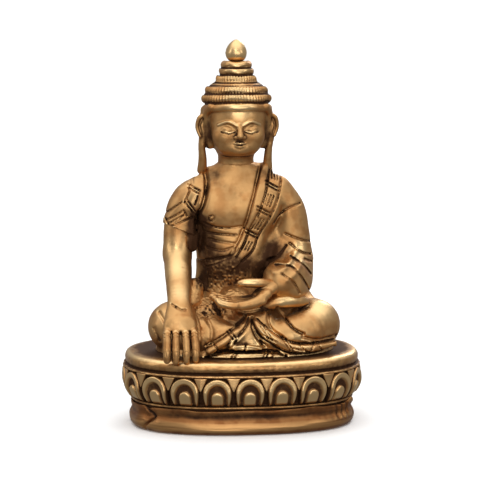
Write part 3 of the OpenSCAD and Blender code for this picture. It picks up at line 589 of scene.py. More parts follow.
def torsoPiece(shape):
    clay = Clay((-20.5, -12.5, 9.2), (19, 13.5, 46), shape["cell"] * coarse)
    addStack(clay, shape["chest"], blend=0)
    addBlob(clay, (-6.2, -1.6, 33.6), (5, 2.2, 4.4), blend=2.4)
    addBlob(clay, (3.6, -1.7, 33.6), (5, 2.2, 4.4), blend=2.4)
    addBlob(clay, (-1.0, -1.6, 21.5), (6.6, 3.0, 5.2), blend=2.4)
    # right shoulder and sleeve, cut off level with its slanting hem
    sleeve = Clay(clay.low, (-6, 13.5, 43), clay.cell)
    addStack(sleeve, [
        [25.5, -15.0, 2.0, 3.5, 3.5], [28, -14.8, 2.2, 3.7, 3.6], [31.5, -14.0, 2.6, 3.65, 3.6], [35, -12.7, 3, 3.95, 4.0],
        [38.2, -10.7, 3.2, 3.7, 3.5], [40.2, -9.4, 3.2, 1.6, 1.6],
    ], blend=0)
    x, z = sleeve.axes[0][:, None, None], sleeve.axes[2][None, None, :]
    sleeve.field = np.maximum(sleeve.field, (28.9 - 0.36 * (x + 14.8) - z) * 0.94)
    size = tuple(min(a, b) for a, b in zip(sleeve.field.shape, clay.field.shape))
    cut = tuple(slice(0, n) for n in size)
    clay.join(cut, sleeve.field[cut], 1.4)
    # left shoulder, the arm inside its sleeve, and the sleeve down to the cuff
    addLimb(clay, [(8.0, 3.2, 36.2, 4.4), (10.8, 3.1, 32, 4.4), (12.0, 2.8, 27, 4.1), (12.6, 2.2, 21, 4.1)], blend=1.4)
    addLimb(clay, [(12.6, 2.2, 20.5, 4.1), (11.9, -1.4, 18.2, 4.1), (10.4, -5, 17.2, 3.9), (8.3, -7.2, 16.8, 3.5)],
            blend=1.0)
    addLimb(clay, [(13.8, 1.2, 17.6, 2.6), (13.2, -3.2, 15.6, 2.6), (11.4, -7.0, 14.8, 2.2)], blend=1.4)  # hanging cloth
    addLimb(clay, [(9.2, 0.4, 24, 1.5), (8.6, -3.4, 20.6, 1.6), (6.6, -6.6, 18.4, 1.4)], blend=1.6)
    # the slopes up to the neck, and the robe bunched between body and arm
    addBlob(clay, (-6.8, 3.2, 40.3), (2.8, 3, 2.5), blend=1.0)
    addBlob(clay, (4.6, 3.2, 40.9), (2.8, 3, 2.6), blend=1.0)
    addLimb(clay, [(-11.0, 0.6, 29, 1.5), (-11.8, 0, 26, 1.6), (-11.6, -0.4, 24.2, 1.2)], blend=1.0)
    addLimb(clay, [(-11.4, -2.6, 15.0, 1.5), (-12.0, -3.2, 12, 2.0)], blend=1.2)
    # deep places: armpits, waist, the cuff's mouth
    addLimb(clay, [(-10.6, -3.6, 34.2, 0.5), (-11.0, -3.2, 30.5, 0.9), (-10.8, -2.2, 26, 1.0), (-11.0, -1.4, 21, 0.9)],
            blend=0.7, carve=True)
    print("torso massed")

    front = Relief(clay)
    inner = front.aside(shape["innerEdge"])
    outer = front.aside(shape["outerEdge"])
    front.depth -= shape["bandRise"] * step01(inner, 0.3)
    front.depth += (shape["bandRise"] - shape["robeRise"]) * step01(outer, 0.3)
    front.cut([(p[0] - 0.35, p[1]) for p in shape["innerEdge"][:8]], 0.8, 0.4)
    front.cut(shape["middleLine"], 0.5, 0.62)
    front.cut(shape["outerEdge"][:8], 0.6, 0.5)
    front.cut([(-2.6, 22.2), (-5.4, 21.9), (-8.2, 20.9)], 0.9, 0.55)
    front.cut([(-1.2, 24.2), (-2.2, 22.9), (-5.2, 21.2), (-8.4, 19.8)], 0.4, 0.3)
    for x0, z0 in ((7.05, 38.0), (4.75, 32.4), (1.85, 27.2)):  # pairs of cuts across the band
        for shift in (0.0, 0.75):
            front.cut([(x0 - 1.5, z0 + 0.9 + shift), (x0 + 1.5, z0 - 0.75 + shift)], 0.38, 0.5)
    for start, end in (((7.7, 41.6), (7.6, 39.9)), ((6.4, 36.6), (5.4, 34.2)), ((4.0, 31.2), (2.6, 28.8)),
                       ((1.2, 25.8), (0.1, 24.0))):
        for shift in (-0.55, 0.15, 0.8):
            front.cut([(start[0] + shift, start[1] - 0.3 * shift), (end[0] + shift, end[1] - 0.3 * shift)], 0.36, 0.4)
    # the shawl's edge over the right shoulder and down the arm
    right = front.aside(shape["rightEdge"])
    low = step01(front.second[None, :] - 28.4 + 0.36 * (front.first[:, None] + 14.8), 0.4)
    front.depth -= 0.5 * step01(-right, 0.4) * low
    front.cut([(p[0] + 0.5, p[1]) for p in shape["rightEdge"]], 1.1, 0.95)
    front.cut(shape["rightOuter"], 0.42, 0.45)
    front.cut([(-12.5, 38.9), (-10.0, 37.6)], 0.42, 0.5)
    front.cut([(-12.6, 38.2), (-10.3, 37.0)], 0.36, 0.4)
    front.cuts([[(-11.2, 41.0), (-11.4, 39.2)], [(-10.5, 36.4), (-11.2, 34.4)], [(-14.1, 34.9), (-18.4, 31.6)],
                [(-13.4, 34.9), (-11.4, 32.4)], [(-12.9, 35.4), (-11.0, 32.9)], [(-17.5, 30.6), (-14.1, 32.7)],
                [(-17.2, 29.8), (-13.6, 31.9)], [(-15.9, 30.0), (-14.6, 30.9)], [(-17.7, 30.9), (-17.2, 29.5)],
                [(-13.7, 33.0), (-13.0, 31.7)]], 0.36, 0.42)
    front.cut([(-18.6, 28.5), (-14.8, 30.0), (-11.6, 31.4)], 0.42, 0.42)
    # the bare chest
    front.depth += 0.34 * np.exp(-((np.hypot(front.first[:, None] + 7.4, front.second[None, :] - 31.3) - 0.62) / 0.2) ** 2)
    front.cuts([[(-9.2, 30.2), (-6.6, 29.2), (-3.6, 28.9), (-0.4, 29.2)], [(-8.8, 27.9), (-6.1, 27.5), (-1.6, 27.2)]],
               0.55, 0.38)
    front.cuts([[(-7.8, 26.2), (-5.2, 25.7), (-2.2, 25.3)], [(-8.2, 24.2), (-5, 23.7), (-2.6, 24.4)]], 0.7, 0.34)
    front.cut([(-9.4, 29.2), (-9.2, 26), (-9.6, 22)], 1.2, 0.5)
    # folds of the left sleeve
    front.cuts([[(13.8, 34.1), (11, 33.2), (8.5, 31.5), (7.2, 29.6)], [(16.2, 25.0), (13.2, 25.9), (10.2, 27.1)],
                [(16.2, 22.1), (13.6, 23.0), (11.2, 24.9)], [(16.0, 17.8), (14, 20.2), (11.1, 22.2)],
                [(15.2, 14.6), (13.2, 17.8), (10.6, 20.4), (7.2, 20.6)], [(12.6, 14.2), (11, 17.0), (8.4, 18.9)],
                [(16.4, 20.4), (14.6, 21.3)], [(10.4, 24.4), (8.2, 22.3), (5.8, 21.2)]], 0.5, 0.45)
    front.depth -= 0.5 * np.exp(-(front.away([(12.6, 23.2), (10.8, 21.6), (8.4, 20.0), (6.4, 19.4)]) / 0.7) ** 2)
    front.depth -= 0.35 * np.exp(-(front.away([(13.4, 20.8), (11.6, 18.8), (9.6, 17.6)]) / 0.6) ** 2)
    front.cut([(9.6, 33.2), (8.9, 30), (6.2, 26.4), (4.2, 22.4)], 1.8, 0.5)
    front.press(0.6, 4.2)

    # the back: the robe closed up to the nape, its folds falling from the left shoulder
    back = Relief(clay)
    neckline = back.above([(-20, 38), (-12, 39.6), (-7, 41.4), (-1, 42.2), (5, 41.4), (10, 39.6), (19, 38)])
    back.depth -= 0.45 * step01(-neckline, 0.4)
    back.cut([(-14, 38.2), (-7, 40.2), (-1, 40.9), (5, 40.2), (12, 38)], 0.5, 0.45)
    back.cut([(-12, 39.4), (-7, 41.2), (-1, 42.0), (5, 41.2), (10, 39.4)], 0.5, 0.4)
    back.cuts([[(9.5, 37), (4, 31), (-4, 26), (-13, 23.4)], [(12, 34.5), (6, 27.5), (-2, 22.4), (-11.4, 19.6)],
               [(14.2, 30), (8, 23.6), (0, 18.6), (-10.4, 15.6)], [(15.6, 25), (10, 19), (3, 14.8), (-9, 11.6)],
               [(6.4, 38.2), (0, 34), (-8, 30.4), (-14, 28.8)]], 0.8, 0.42)
    back.press(6.4, 3.4)
    print("torso cut")

    addStack(clay, shape["hollow"], blend=0, carve=True)
    clay.field = np.maximum(clay.field, 9.6 - clay.axes[2][None, None, :])
    return finishClay(clay, "torso_and_robe", brass, dirtAndShade=shape["dirtAndShade"], stipple=shape["stipple"],
                      rubbedAndHighlit=shape["rubbedAndHighlit"])


legsShape = {
    "cell": 0.16,
    "seatHalfWidth": 20.6,
    "seatHalfDepth": 13.0,
    "rightKnee": (-16.4, -3.2, 5.9),
    "leftKnee": (17.0, -3.2, 5.8),
    "swagLow": [(1.2, 8.4), (2.8, 5.4), (6.1, 3.1), (9.3, 1.3), (15.3, 0.7), (20.6, 1.5)],
    "swagHigh": [(2.3, 8.8), (5.1, 6.3), (8.4, 4.2), (10.7, 3.2), (14.1, 2.8), (20.8, 2.7)],
    # spots of painted shade in the lap and under the shins, with some darker tone: x, y, z, radius, amount
    "dirtAndShade": [(-11, -11, 5, 2.6, 0.35), (-19, -8, 2, 3.4, 0.4), (-8, -8, 12, 3.4, 0.3), (-1, -11, 8.6, 2.6, 0.3),
             (0, -13, 4.6, 2.4, 0.3), (-4, -12, 6, 2.4, 0.2), (4, -9, 13, 2.6, 0.3), (20, -8, 1, 2.6, 0.2)],
    # spots of painted highlight, with rubbed wear, on the knees, shins and hems
    "rubbedAndHighlit": [(17.6, -6, 9.6, 4.2, 0.8), (9.4, -9, 13, 3, 0.8), (-18.6, -6, 8, 3, 0.5), (4, -14, 4.6, 3, 0.6),
               (12, -13, 2.6, 4, 0.6), (-1, -15, 1.6, 5, 0.7)],
    "stipple": [(-7, -8, 12.5, 4.2, 1), (-2, -9, 13, 3.6, 1), (-10, -8, 9, 3, 0.9), (-10.6, -12, 4, 2.4, 0.8)],
}


def legsPiece(shape):
    clay = Clay((-24, -17.5, -0.4), (25, 15, 18), shape["cell"] * coarse)
    level = (0, 0, 1)
    right, left = shape["rightKnee"], shape["leftKnee"]
    # the robe spread on the deck
    addStack(clay, [
        [-0.05, 0.6, -1, shape["seatHalfWidth"] + 0.4, shape["seatHalfDepth"] + 0.4],
        [0.9, 0.6, -1, shape["seatHalfWidth"], shape["seatHalfDepth"]],
        [1.5, 0.6, -1, shape["seatHalfWidth"] - 0.8, shape["seatHalfDepth"] - 0.8],
    ], blend=0, power=2.2)
    addStack(clay, [[0.3, 0, 3.4, 15.6, 10.2], [5, 0, 3.3, 14.6, 9.4], [9.6, -0.2, 3.2, 11.9, 7.9]], blend=1.5)
    addBlob(clay, (0, 2.6, 5.2), (16.8, 9.4, 5.6), blend=2.5)
    # thighs and knees
    addLimb(clay, [(-7, 4, 7, 6.4), (-13, 1, 6.2, 6.1), (*right, 5.7)], blend=1.6)
    addLimb(clay, [(7, 4, 7, 6.4), (13.4, 1, 6.3, 6.1), (*left, 5.7)], blend=1.6)
    addBlob(clay, (13.7, 2, 11.2), (3.2, 3.4, 3.2), blend=1.6)
    # shins: the left lies below, the right crosses over it with its foot on the thigh
    addLimb(clay, [(*left, 5.6), (13.4, -7.4, 4.9, 4.9), (5.2, -9.7, 3.8, 3.9)], side=level, blend=1.2)
    addLimb(clay, [(*right, 5.5), (-11, -8, 4.8, 4.8), (-3, -9.8, 5.2, 4.2), (3.6, -9.6, 7.0, 3.3)], side=level, blend=1.2)
    addLimb(clay, [(0, -7.0, 9.6, 4.2), (-2, -5.0, 11.2, 4.2), (-2, -1, 12, 4)], blend=2.6)  # lap
    addLimb(clay, [(-9, -4.6, 8.6, 3.6), (-9, -1, 10.6, 3.6)], blend=2.2)
    # the upturned foot
    addLimb(clay, [(4.6, -8.8, 11.2, 0.9, 1.0), (6.4, -8.9, 11.9, 1.5, 1.4), (9.4, -8.4, 12.3, 1.7, 1.5),
                   (12.6, -7.2, 12.0, 1.5, 1.2), (14.2, -6.0, 11.6, 1.1, 1.0)], side=level, blend=0.5)
    # hems in front
    upright = (0, -0.5, 1)
    addLimb(clay, [(1.6, -13.0, 8.4, 0.6, 0.8), (3.8, -13.9, 6.0, 1.0, 0.9), (7.0, -14.2, 3.6, 1.3, 0.9),
                   (10.0, -13.8, 2.2, 1.2, 0.9), (15, -12.4, 1.8, 1.1, 0.9), (20.6, -8.8, 2.1, 0.7, 0.7)], side=upright,
            blend=0.5)
    addLimb(clay, [(-1.3, -13.0, 7.6, 0.6, 0.8), (-5.2, -14.0, 4.2, 0.9, 0.9), (-9.0, -14.0, 1.8, 0.8, 0.8)],
            side=upright, blend=0.5)
    addLimb(clay, [(-0.3, -13.4, 6.4, 0.5, 0.5), (-2.6, -14.2, 4.6, 0.6, 0.6), (-4.0, -14.4, 3.2, 0.5, 0.5)],
            side=upright, blend=0.4)
    addLimb(clay, [(0, -12.6, 6.8, 2.4, 1.4), (0, -13.2, 3.0, 3.4, 1.2)], blend=1.2)
    addLimb(clay, [(-4.0, -13.8, 2.5, 0.4, 0.6), (-0.6, -14.8, 2.5, 0.8, 0.7), (2.9, -13.9, 2.3, 0.4, 0.6)],
            side=upright, blend=0.4)
    addLimb(clay, [(-8.6, -13.6, 0.7, 0.5, 0.7), (-1.5, -14.9, 0.75, 0.75, 0.8), (5.2, -14.2, 0.7, 0.5, 0.7)],
            side=upright, blend=0.4)
    print("legs massed")

    front = Relief(clay)
    low, high = front.above(shape["swagLow"]), front.above(shape["swagHigh"])
    across = front.first[:, None]
    band = step01(low, 0.3) * step01(-high, 0.3) * step01(across - 1.4, 0.8) * step01(21.5 - across, 1.0)
    front.depth -= 0.3 * band
    front.cut(shape["swagLow"], 0.5, 0.5)
    front.cut(shape["swagHigh"], 0.45, 0.5)
    front.cuts([[(3.0, 7.4), (4.8, 4.6)], [(3.8, 7.2), (5.6, 4.2)], [(8.0, 4.6), (9.8, 1.5)], [(8.8, 4.3), (10.6, 1.4)],
                [(12.0, 3.0), (14.2, 1.0), (15.6, 2.9)], [(16.4, 2.9), (17.6, 1.0)], [(3.2, 5.6), (6.4, 3.9)],
                [(10.6, 2.2), (13.0, 1.5)]], 0.36, 0.42)
    front.cuts([[(-2.9, 5.0), (-4.2, 6.7)], [(-3.5, 4.6), (-4.8, 6.3)], [(-7.0, 2.2), (-8.0, 3.6)],
                [(-3.5, -0.1), (-2.5, 1.6)], [(-4.2, -0.1), (-3.2, 1.6)], [(3.2, -0.2), (4.2, 1.5)],
                [(3.9, -0.2), (4.9, 1.5)], [(-0.9, 1.8), (-0.6, 3.2)]], 0.34, 0.4)
    front.cuts([[(-2.9, 2.4), (-0.6, 2.7), (2.2, 2.2)], [(-8, 0.7), (-1.5, 0.75), (5.0, 0.7)]], 0.3, 0.2)
    front.cuts([[(-0.2, 9.6), (-1.6, 8.2), (-5.2, 5.5), (-9.6, 3.0)], [(0.3, 9.0), (-0.4, 7.4), (-3.2, 3.8)],
                [(1.2, 9.2), (1.0, 7.4), (2.2, 4.6), (4.4, 2.6)], [(-9.6, 0.2), (-5.4, 1.6), (0, 1.6), (6, 1.4), (9, 0.4)]],
               0.7, 0.5)
    front.cuts([[(7.4, 10.9), (8.6, 9.0), (10.7, 6.5), (13.2, 5.1)]], 0.75, 0.85)  # between shin and thigh
    front.cuts([[(5.4, 9.9), (4.9, 8.8), (5.6, 6.6), (8.2, 4.6)]], 0.8, 0.5)
    front.cuts([[(13.0, 4.4), (17, 3.4), (21.6, 3.6)]], 0.8, 0.6)
    front.cuts([[(-9.6, 9.6), (-8.2, 6.6), (-8.6, 3.4)], [(-7.0, 11.4), (-5.6, 8.8), (-2.0, 7.4)],
                [(-4.4, 12.4), (-1.0, 10.2), (3.6, 10.4)]], 0.9, 0.38)
    front.cuts([[(-19.8, 9.6), (-18.4, 7.0), (-18.0, 4.2)], [(-21.0, 6.0), (-19.8, 3.4)], [(-13.6, 8.4), (-11.0, 6.8)]],
               0.8, 0.4)
    front.press(-6.5, -2.0)

    back = Relief(clay)
    back.cuts([[(-17, 2.2), (-9, 4.2), (0, 4.8), (9, 4.2), (17, 2.2)], [(-15, 5.2), (-7, 7.6), (2, 8.2), (10, 7)],
               [(-12, 9.6), (-4, 11.2), (6, 11.4)], [(13, 9.6), (15.4, 6.0), (18, 3.2)],
               [(-13, 9.4), (-15.8, 6.0), (-18.4, 3.2)]], 0.9, 0.45)
    back.press(7.0, 3.0)
    print("legs cut")

    addStack(clay, [[-1, 0, 3.4, 12.6, 6.6], [5, 0, 3.4, 11, 6.2], [12, -0.3, 3.3, 8.6, 5], [19, -0.6, 3.3, 7.4, 4.2]],
             blend=0, carve=True)
    clay.field = np.maximum(clay.field, -clay.axes[2][None, None, :])
    return finishClay(clay, "legs_and_robe", brass, lumps=0.3, dirtAndShade=shape["dirtAndShade"], stipple=shape["stipple"],
                      rubbedAndHighlit=shape["rubbedAndHighlit"])


headShape = {
    "cell": 0.12,
    "skull": [
        [43.0, axisX, axisY, 4.3, 4.3], [45, axisX, 3.2, 4.2, 4.5], [46.6, axisX, 1.6, 4.9, 5.4],
        [49.4, axisX, 1.0, 6.1, 6.6], [53, axisX, 1.2, 6.8, 7.3], [56.4, axisX, 1.7, 7.3, 7.5],
        [59.4, axisX, 2, 7.5, 7.4], [61.4, axisX, 2.1, 6.6, 6.5], [62.8, axisX, 2.1, 4.9, 4.9],
        [64.2, axisX, 2.1, 3.9, 3.9], [66, axisX, 2.1, 3.4, 3.4], [67.4, axisX, 2.1, 2.9, 2.9],
    ],
    # rows of hair: height at the front, how much lower at the back, radius, thickness, ticks round it
    "rows": [
        (57.5, 2.8, 7.45, 0.95, 0), (59.4, 1.3, 7.25, 0.9, 66), (61.1, 0.9, 6.5, 0.8, 58),
        (63.5, 0.5, 3.8, 0.9, 40), (65.3, 0.3, 3.2, 0.9, 0), (66.7, 0.2, 2.9, 0.75, 0),
    ],
    # grooves between them: height, how much lower at the back, radius
    "grooves": [(58.45, 1.9, 8.1), (60.35, 1.1, 7.75), (62.15, 0.7, 6.5), (62.75, 0.6, 5.1), (64.45, 0.4, 4.1),
                (66.05, 0.25, 3.75)],
    # spots of painted shade under the chin and round the ears, with darker patina on the sides of the hair: x, y, z,
    # radius, amount
    "dirtAndShade": [(axisX, -2, 43.6, 5, 0.35), (-8.6, 2, 46, 2.2, 0.25), (6.6, 2, 46, 2.2, 0.25), (-7.6, -1, 53, 1.6, 0.3),
             (5.6, -1, 53, 1.6, 0.3), (-8.2, -0.4, 50, 2.2, 0.4), (6.2, -0.4, 50, 2.2, 0.4), (-7.6, 0, 60.4, 3, 0.3),
             (5.6, 0, 60.4, 3, 0.36), (4, 0, 64, 2, 0.2)],
    # spots of painted highlight, with rubbed wear, on the front of the hair and the crown
    "rubbedAndHighlit": [(axisX, -6, 57.5, 4, 0.5), (axisX, -5, 60.5, 4, 0.7), (axisX, -1, 66, 3, 0.6)],
    "napeRows": [(55.4, 7.3), (53.5, 7.2), (51.6, 6.9), (49.8, 6.4), (48.1, 5.7)],
}


def addHairRow(clay, height, drop, radius, thick, ticks, phase, backOnly=False):
    cx, cy = axisX, 2.1
    reach = radius + thick + 1
    cut, x, y, z = clay.window((cx - reach, cy - reach, height - 3.4), (cx + reach, cy + reach, height + 1.6), 0.5)
    dx, dy = x - cx, y - cy
    turn = np.arctan2(dx, -dy)  # none at the front
    level = height - drop * (1 - np.cos(turn)) * 0.5 + 0.16 * np.cos(5 * turn + phase)
    level = level - (0.45 * np.exp(-(turn / 0.30) ** 2) if ticks == 0 and radius > 7 else 0)
    swell = thick
    if ticks:
        swell = thick * (1 + 0.13 * np.cos(ticks * turn + phase) + 0.05 * np.cos(7 * turn + 2 * phase))
    part = np.hypot(np.hypot(dx, dy) - radius, (z - level) * 0.95) - swell
    if backOnly:
        part = np.maximum(part, 4.6 - y)
    clay.join(cut, part.astype(np.float32), 0.22)


def hairGrooveShade(points):
    # painted shade along the grooves between the rows of hair, standing also for patina there
    dx, dy = points[:, 0] - axisX, points[:, 1] - 2.1
    turn = np.arctan2(dx, -dy)
    total = np.zeros(len(points))
    for height, drop, radius in headShape["grooves"]:
        level = height - drop * (1 - np.cos(turn)) * 0.5
        outer = np.clip(np.hypot(dx, dy) - radius + 1.6, 0, 1)
        total += 0.75 * outer * np.exp(-((points[:, 2] - level) / 0.2) ** 2)
    return total


def headPiece(shape):
    clay = Clay((axisX - 10.8, -8.6, 40.4), (axisX + 10.8, 12.2, 68.4), shape["cell"] * coarse)
    addStack(clay, shape["skull"], blend=0)
    # cheeks, jaw and chin, even and calm
    for side in (-1, 1):
        addBlob(clay, (axisX + side * 3.3, -3.2, 50.3), (2.7, 2.5, 2.7), blend=1.6)
        addBlob(clay, (axisX + side * 2.4, -3.0, 47.9), (2.2, 2.2, 1.7), blend=1.5)
    addBlob(clay, (axisX, -4.0, 47.4), (1.9, 1.9, 1.5), blend=1.2)
    for side in (-1, 1):
        addBlob(clay, (axisX + side * 2.7, -7.1, 52.5), (1.9, 1.3, 0.95), blend=0.9, turn=side * 6, carve=True)
        addBlob(clay, (axisX + side * 2.7, -4.75, 52.1), (1.65, 1.35, 1.05), blend=0.25, turn=side * 6)
        brow = [(axisX + side * 0.9, -6.1, 53.2, 0.24), (axisX + side * 2.7, -5.75, 54.0, 0.3),
                (axisX + side * 4.9, -4.3, 53.2, 0.2)]
        addLimb(clay, brow, blend=0.45)
        lid = [(axisX + side * 1.3, -6.0, 51.75, 0.2), (axisX + side * 2.7, -6.25, 51.5, 0.26),
               (axisX + side * 4.3, -5.1, 51.95, 0.18)]
        addLimb(clay, lid, blend=0.2)
        addLimb(clay, [(p[0], p[1] - 0.15, p[2] - 0.36, 0.16) for p in lid], blend=0.1, carve=True)
    addLimb(clay, [(axisX, -5.9, 53.2, 0.55, 0.4), (axisX, -6.5, 51.8, 0.6, 0.55), (axisX, -7.0, 50.7, 0.8, 0.7)],
            blend=0.6)
    for side in (-1, 1):
        addBlob(clay, (axisX + side * 0.85, -6.35, 50.4), (0.55, 0.6, 0.45), blend=0.3)
    addLimb(clay, [(axisX - 1.6, -5.2, 48.85, 0.2), (axisX - 0.5, -5.95, 49.0, 0.3), (axisX, -6.0, 48.92, 0.28),
                   (axisX + 0.5, -5.95, 49.0, 0.3), (axisX + 1.6, -5.2, 48.85, 0.2)], blend=0.25)
    addLimb(clay, [(axisX - 1.2, -5.3, 48.3, 0.22), (axisX, -5.85, 48.15, 0.38), (axisX + 1.2, -5.3, 48.3, 0.22)],
            blend=0.25)
    addLimb(clay, [(axisX - 1.5, -5.7, 48.65, 0.12), (axisX, -6.35, 48.6, 0.14), (axisX + 1.5, -5.7, 48.65, 0.12)],
            blend=0.1, carve=True)
    # folds of the neck
    for height, radius in ((45.6, 4.75), (44.4, 4.7)):
        cut, x, y, z = clay.window((axisX - 7, -4, height - 1), (axisX + 7, 9, height + 1), 0.5)
        ring = np.hypot(np.hypot(x - axisX, y - 3.2) - radius, z - height) - 0.22
        clay.carve(cut, ring.astype(np.float32), 0.3)
    # hair, from the nape up to the crown
    for i, (height, radius) in enumerate(shape["napeRows"]):
        addHairRow(clay, height, 0.0, radius + 0.1, 0.95, 60 - 3 * i, 1.1 * i, backOnly=True)
    for i, (height, drop, radius, thick, ticks) in enumerate(shape["rows"]):
        addHairRow(clay, height, drop, radius, thick, ticks, 0.7 * i)
    for height, drop, radius in shape["grooves"]:
        cut, x, y, z = clay.window((axisX - 9, -7, height - 3), (axisX + 9, 12, height + 1), 0.3)
        turn = np.arctan2(x - axisX, 2.1 - y)
        level = height - drop * (1 - np.cos(turn)) * 0.5
        ring = np.hypot(np.hypot(x - axisX, y - 2.1) - radius, z - level) - 0.2
        clay.carve(cut, ring.astype(np.float32), 0.15)
    # the hair's edge in front of the ears
    for side in (-1, 1):
        addLimb(clay, [(axisX + side * 6.4, -2.8, 57.2, 0.9), (axisX + side * 7.2, -0.9, 55.6, 0.9),
                       (axisX + side * 7.2, -0.1, 53.4, 0.6)], blend=0.5)
        addLimb(clay, [(axisX + side * 6.4, 0.6, 55.0, 1.6, 1.5), (axisX + side * 6.6, 1.2, 51.0, 1.7, 1.7),
                       (axisX + side * 6.2, 1.8, 48.4, 1.3, 1.4)], blend=0.8)
    # ears: rim, hollow and long lobe
    for side, lobe in ((-1, 0.4), (1, -0.2)):
        at = axisX + side * lobe
        addLimb(clay, [
            (axisX + side * 7.7, 1.4, 55.2, 0.8, 1.3), (axisX + side * 8.4, 1.2, 53, 0.95, 1.7),
            (axisX + side * 8.0, 1.1, 50.4, 0.95, 1.4), (at + side * 7.8, 1.2, 47.6, 0.85, 1.1),
            (at + side * 7.6, 1.7, 45.2, 0.95, 1.0), (at + side * 7.6, 2.2, 43.2, 1.1, 1.0),
            (at + side * 7.7, 2.7, 41.9, 1.1, 1.0),
        ], blend=0.5)
        addLimb(clay, [(axisX + side * 8.2, -0.7, 54.4, 0.32), (axisX + side * 8.9, -0.4, 52.6, 0.36),
                       (axisX + side * 8.3, -0.5, 50.4, 0.3), (axisX + side * 7.9, -0.3, 48.6, 0.26)],
                blend=0.2, carve=True)
        addLimb(clay, [(axisX + side * 7.5, -0.6, 55.4, 0.42), (axisX + side * 9.0, -0.3, 54.4, 0.45),
                       (axisX + side * 9.4, 0.1, 52.2, 0.42), (axisX + side * 8.7, 0, 50.2, 0.38)], blend=0.2)
        addLimb(clay, [(at + side * 7.9, 0.0, 47.2, 0.2), (at + side * 7.6, 0.4, 45.0, 0.22)], blend=0.2, carve=True)
    print("head massed")
    addStack(clay, [
        [40, axisX, axisY, 2.0, 2.0], [47, axisX, 3.2, 2.6, 2.6], [51, axisX, 2.4, 4.6, 4.6],
        [55, axisX, 2.2, 4.8, 4.8], [59, axisX, 2.4, 3, 3.2],
    ], blend=0, carve=True)
    return finishClay(clay, "head_and_crown", brass, grain=0.012, lumps=0.1, dirtAndShade=shape["dirtAndShade"], rubbedAndHighlit=shape["rubbedAndHighlit"],
                      grooveShade=hairGrooveShade)


armShape = {
    "cell": 0.12,
    "fingers": [-18.7, -16.8, -14.5, -12.5],
    "fingerTips": [0.35, 0.1, 0.15, 0.5],
    # spots of painted highlight, with rubbed wear, down the forearm
    "rubbedAndHighlit": [(-15.4, 0, 24, 3.5, 0.5), (-15.3, -4, 19, 3.6, 0.7), (-15.4, -9, 14, 3, 0.6), (-15.6, -15, 8, 2.5, 0.3)],
}


def rightArmPiece(shape):
    clay = Clay((-21.5, -19, -1.2), (-9.2, 7.5, 31.5), shape["cell"] * coarse)
    addStack(clay, [[20, -15, 1, 2.4, 2.4], [22, -15, 1.4, 3.2, 3.2], [28, -14.8, 2.2, 3.35, 3.25],
                    [31.2, -14.2, 2.6, 3.3, 3.2]], blend=0)
    addLimb(clay, [(-15, 1.4, 22.4, 3.2, 3.2), (-15.1, -2.4, 18.8, 3.2, 2.9), (-15.3, -6.4, 15.2, 2.9, 2.5),
                   (-15.5, -9.6, 12.3, 2.75, 1.9), (-15.6, -12, 9.8, 3.4, 1.8), (-15.6, -14.0, 7.1, 3.8, 1.4)],
            blend=1.2)
    addBlob(clay, (-15.6, -13.6, 8.0), (3.6, 1.3, 2.2), blend=1.0)
    for x, tip in zip(shape["fingers"], shape["fingerTips"]):
        away = (x + 15.6) * 0.06
        addLimb(clay, [(x - away, -14.0, 7.0, 0.95), (x, -15.35, 5.9, 1.0), (x + away, -16.2, 3.4, 0.97),
                       (x + away, -16.6, 1.8, 0.95), (x + away, -16.5, tip, 0.85)], blend=0.14)
        addBlob(clay, (x, -15.0, 6.3), (0.95, 0.8, 0.7), blend=0.3)
    addLimb(clay, [(-12.9, -10.6, 10.4, 1.1), (-11.7, -12.0, 7.6, 0.95), (-11.3, -12.8, 4.4, 0.8)], blend=0.5)
    print("right arm massed")
    front = Relief(clay)
    for x, tip in zip(shape["fingers"], shape["fingerTips"]):
        front.cuts([[(x - 0.75, 6.2), (x, 6.75), (x + 0.75, 6.2)], [(x - 0.7, 5.5), (x, 5.95), (x + 0.7, 5.5)]],
                   0.24, 0.17)
        front.cut([(x - 0.5, tip + 1.0), (x - 0.45, tip + 1.9), (x, tip + 2.25), (x + 0.45, tip + 1.9),
                   (x + 0.5, tip + 1.0)], 0.2, 0.14)
    for first, second in zip(shape["fingers"][:-1], shape["fingers"][1:]):
        middle = (first + second) / 2
        front.cut([(middle, 6.7), (middle, 5.2)], 0.32, 0.25)
    front.cuts([[(-16.4, 11.9), (-15.4, 11.4), (-14.2, 11.3)], [(-17.3, 12.4), (-16.4, 11.9)]], 0.45, 0.3)
    front.press(-9, -6)
    clay.field = np.maximum(clay.field, clay.axes[2][None, None, :] - 31.2)
    return finishClay(clay, "right_forearm_and_hand", brass, grain=0.012, lumps=0.1, most=150000, rubbedAndHighlit=shape["rubbedAndHighlit"])


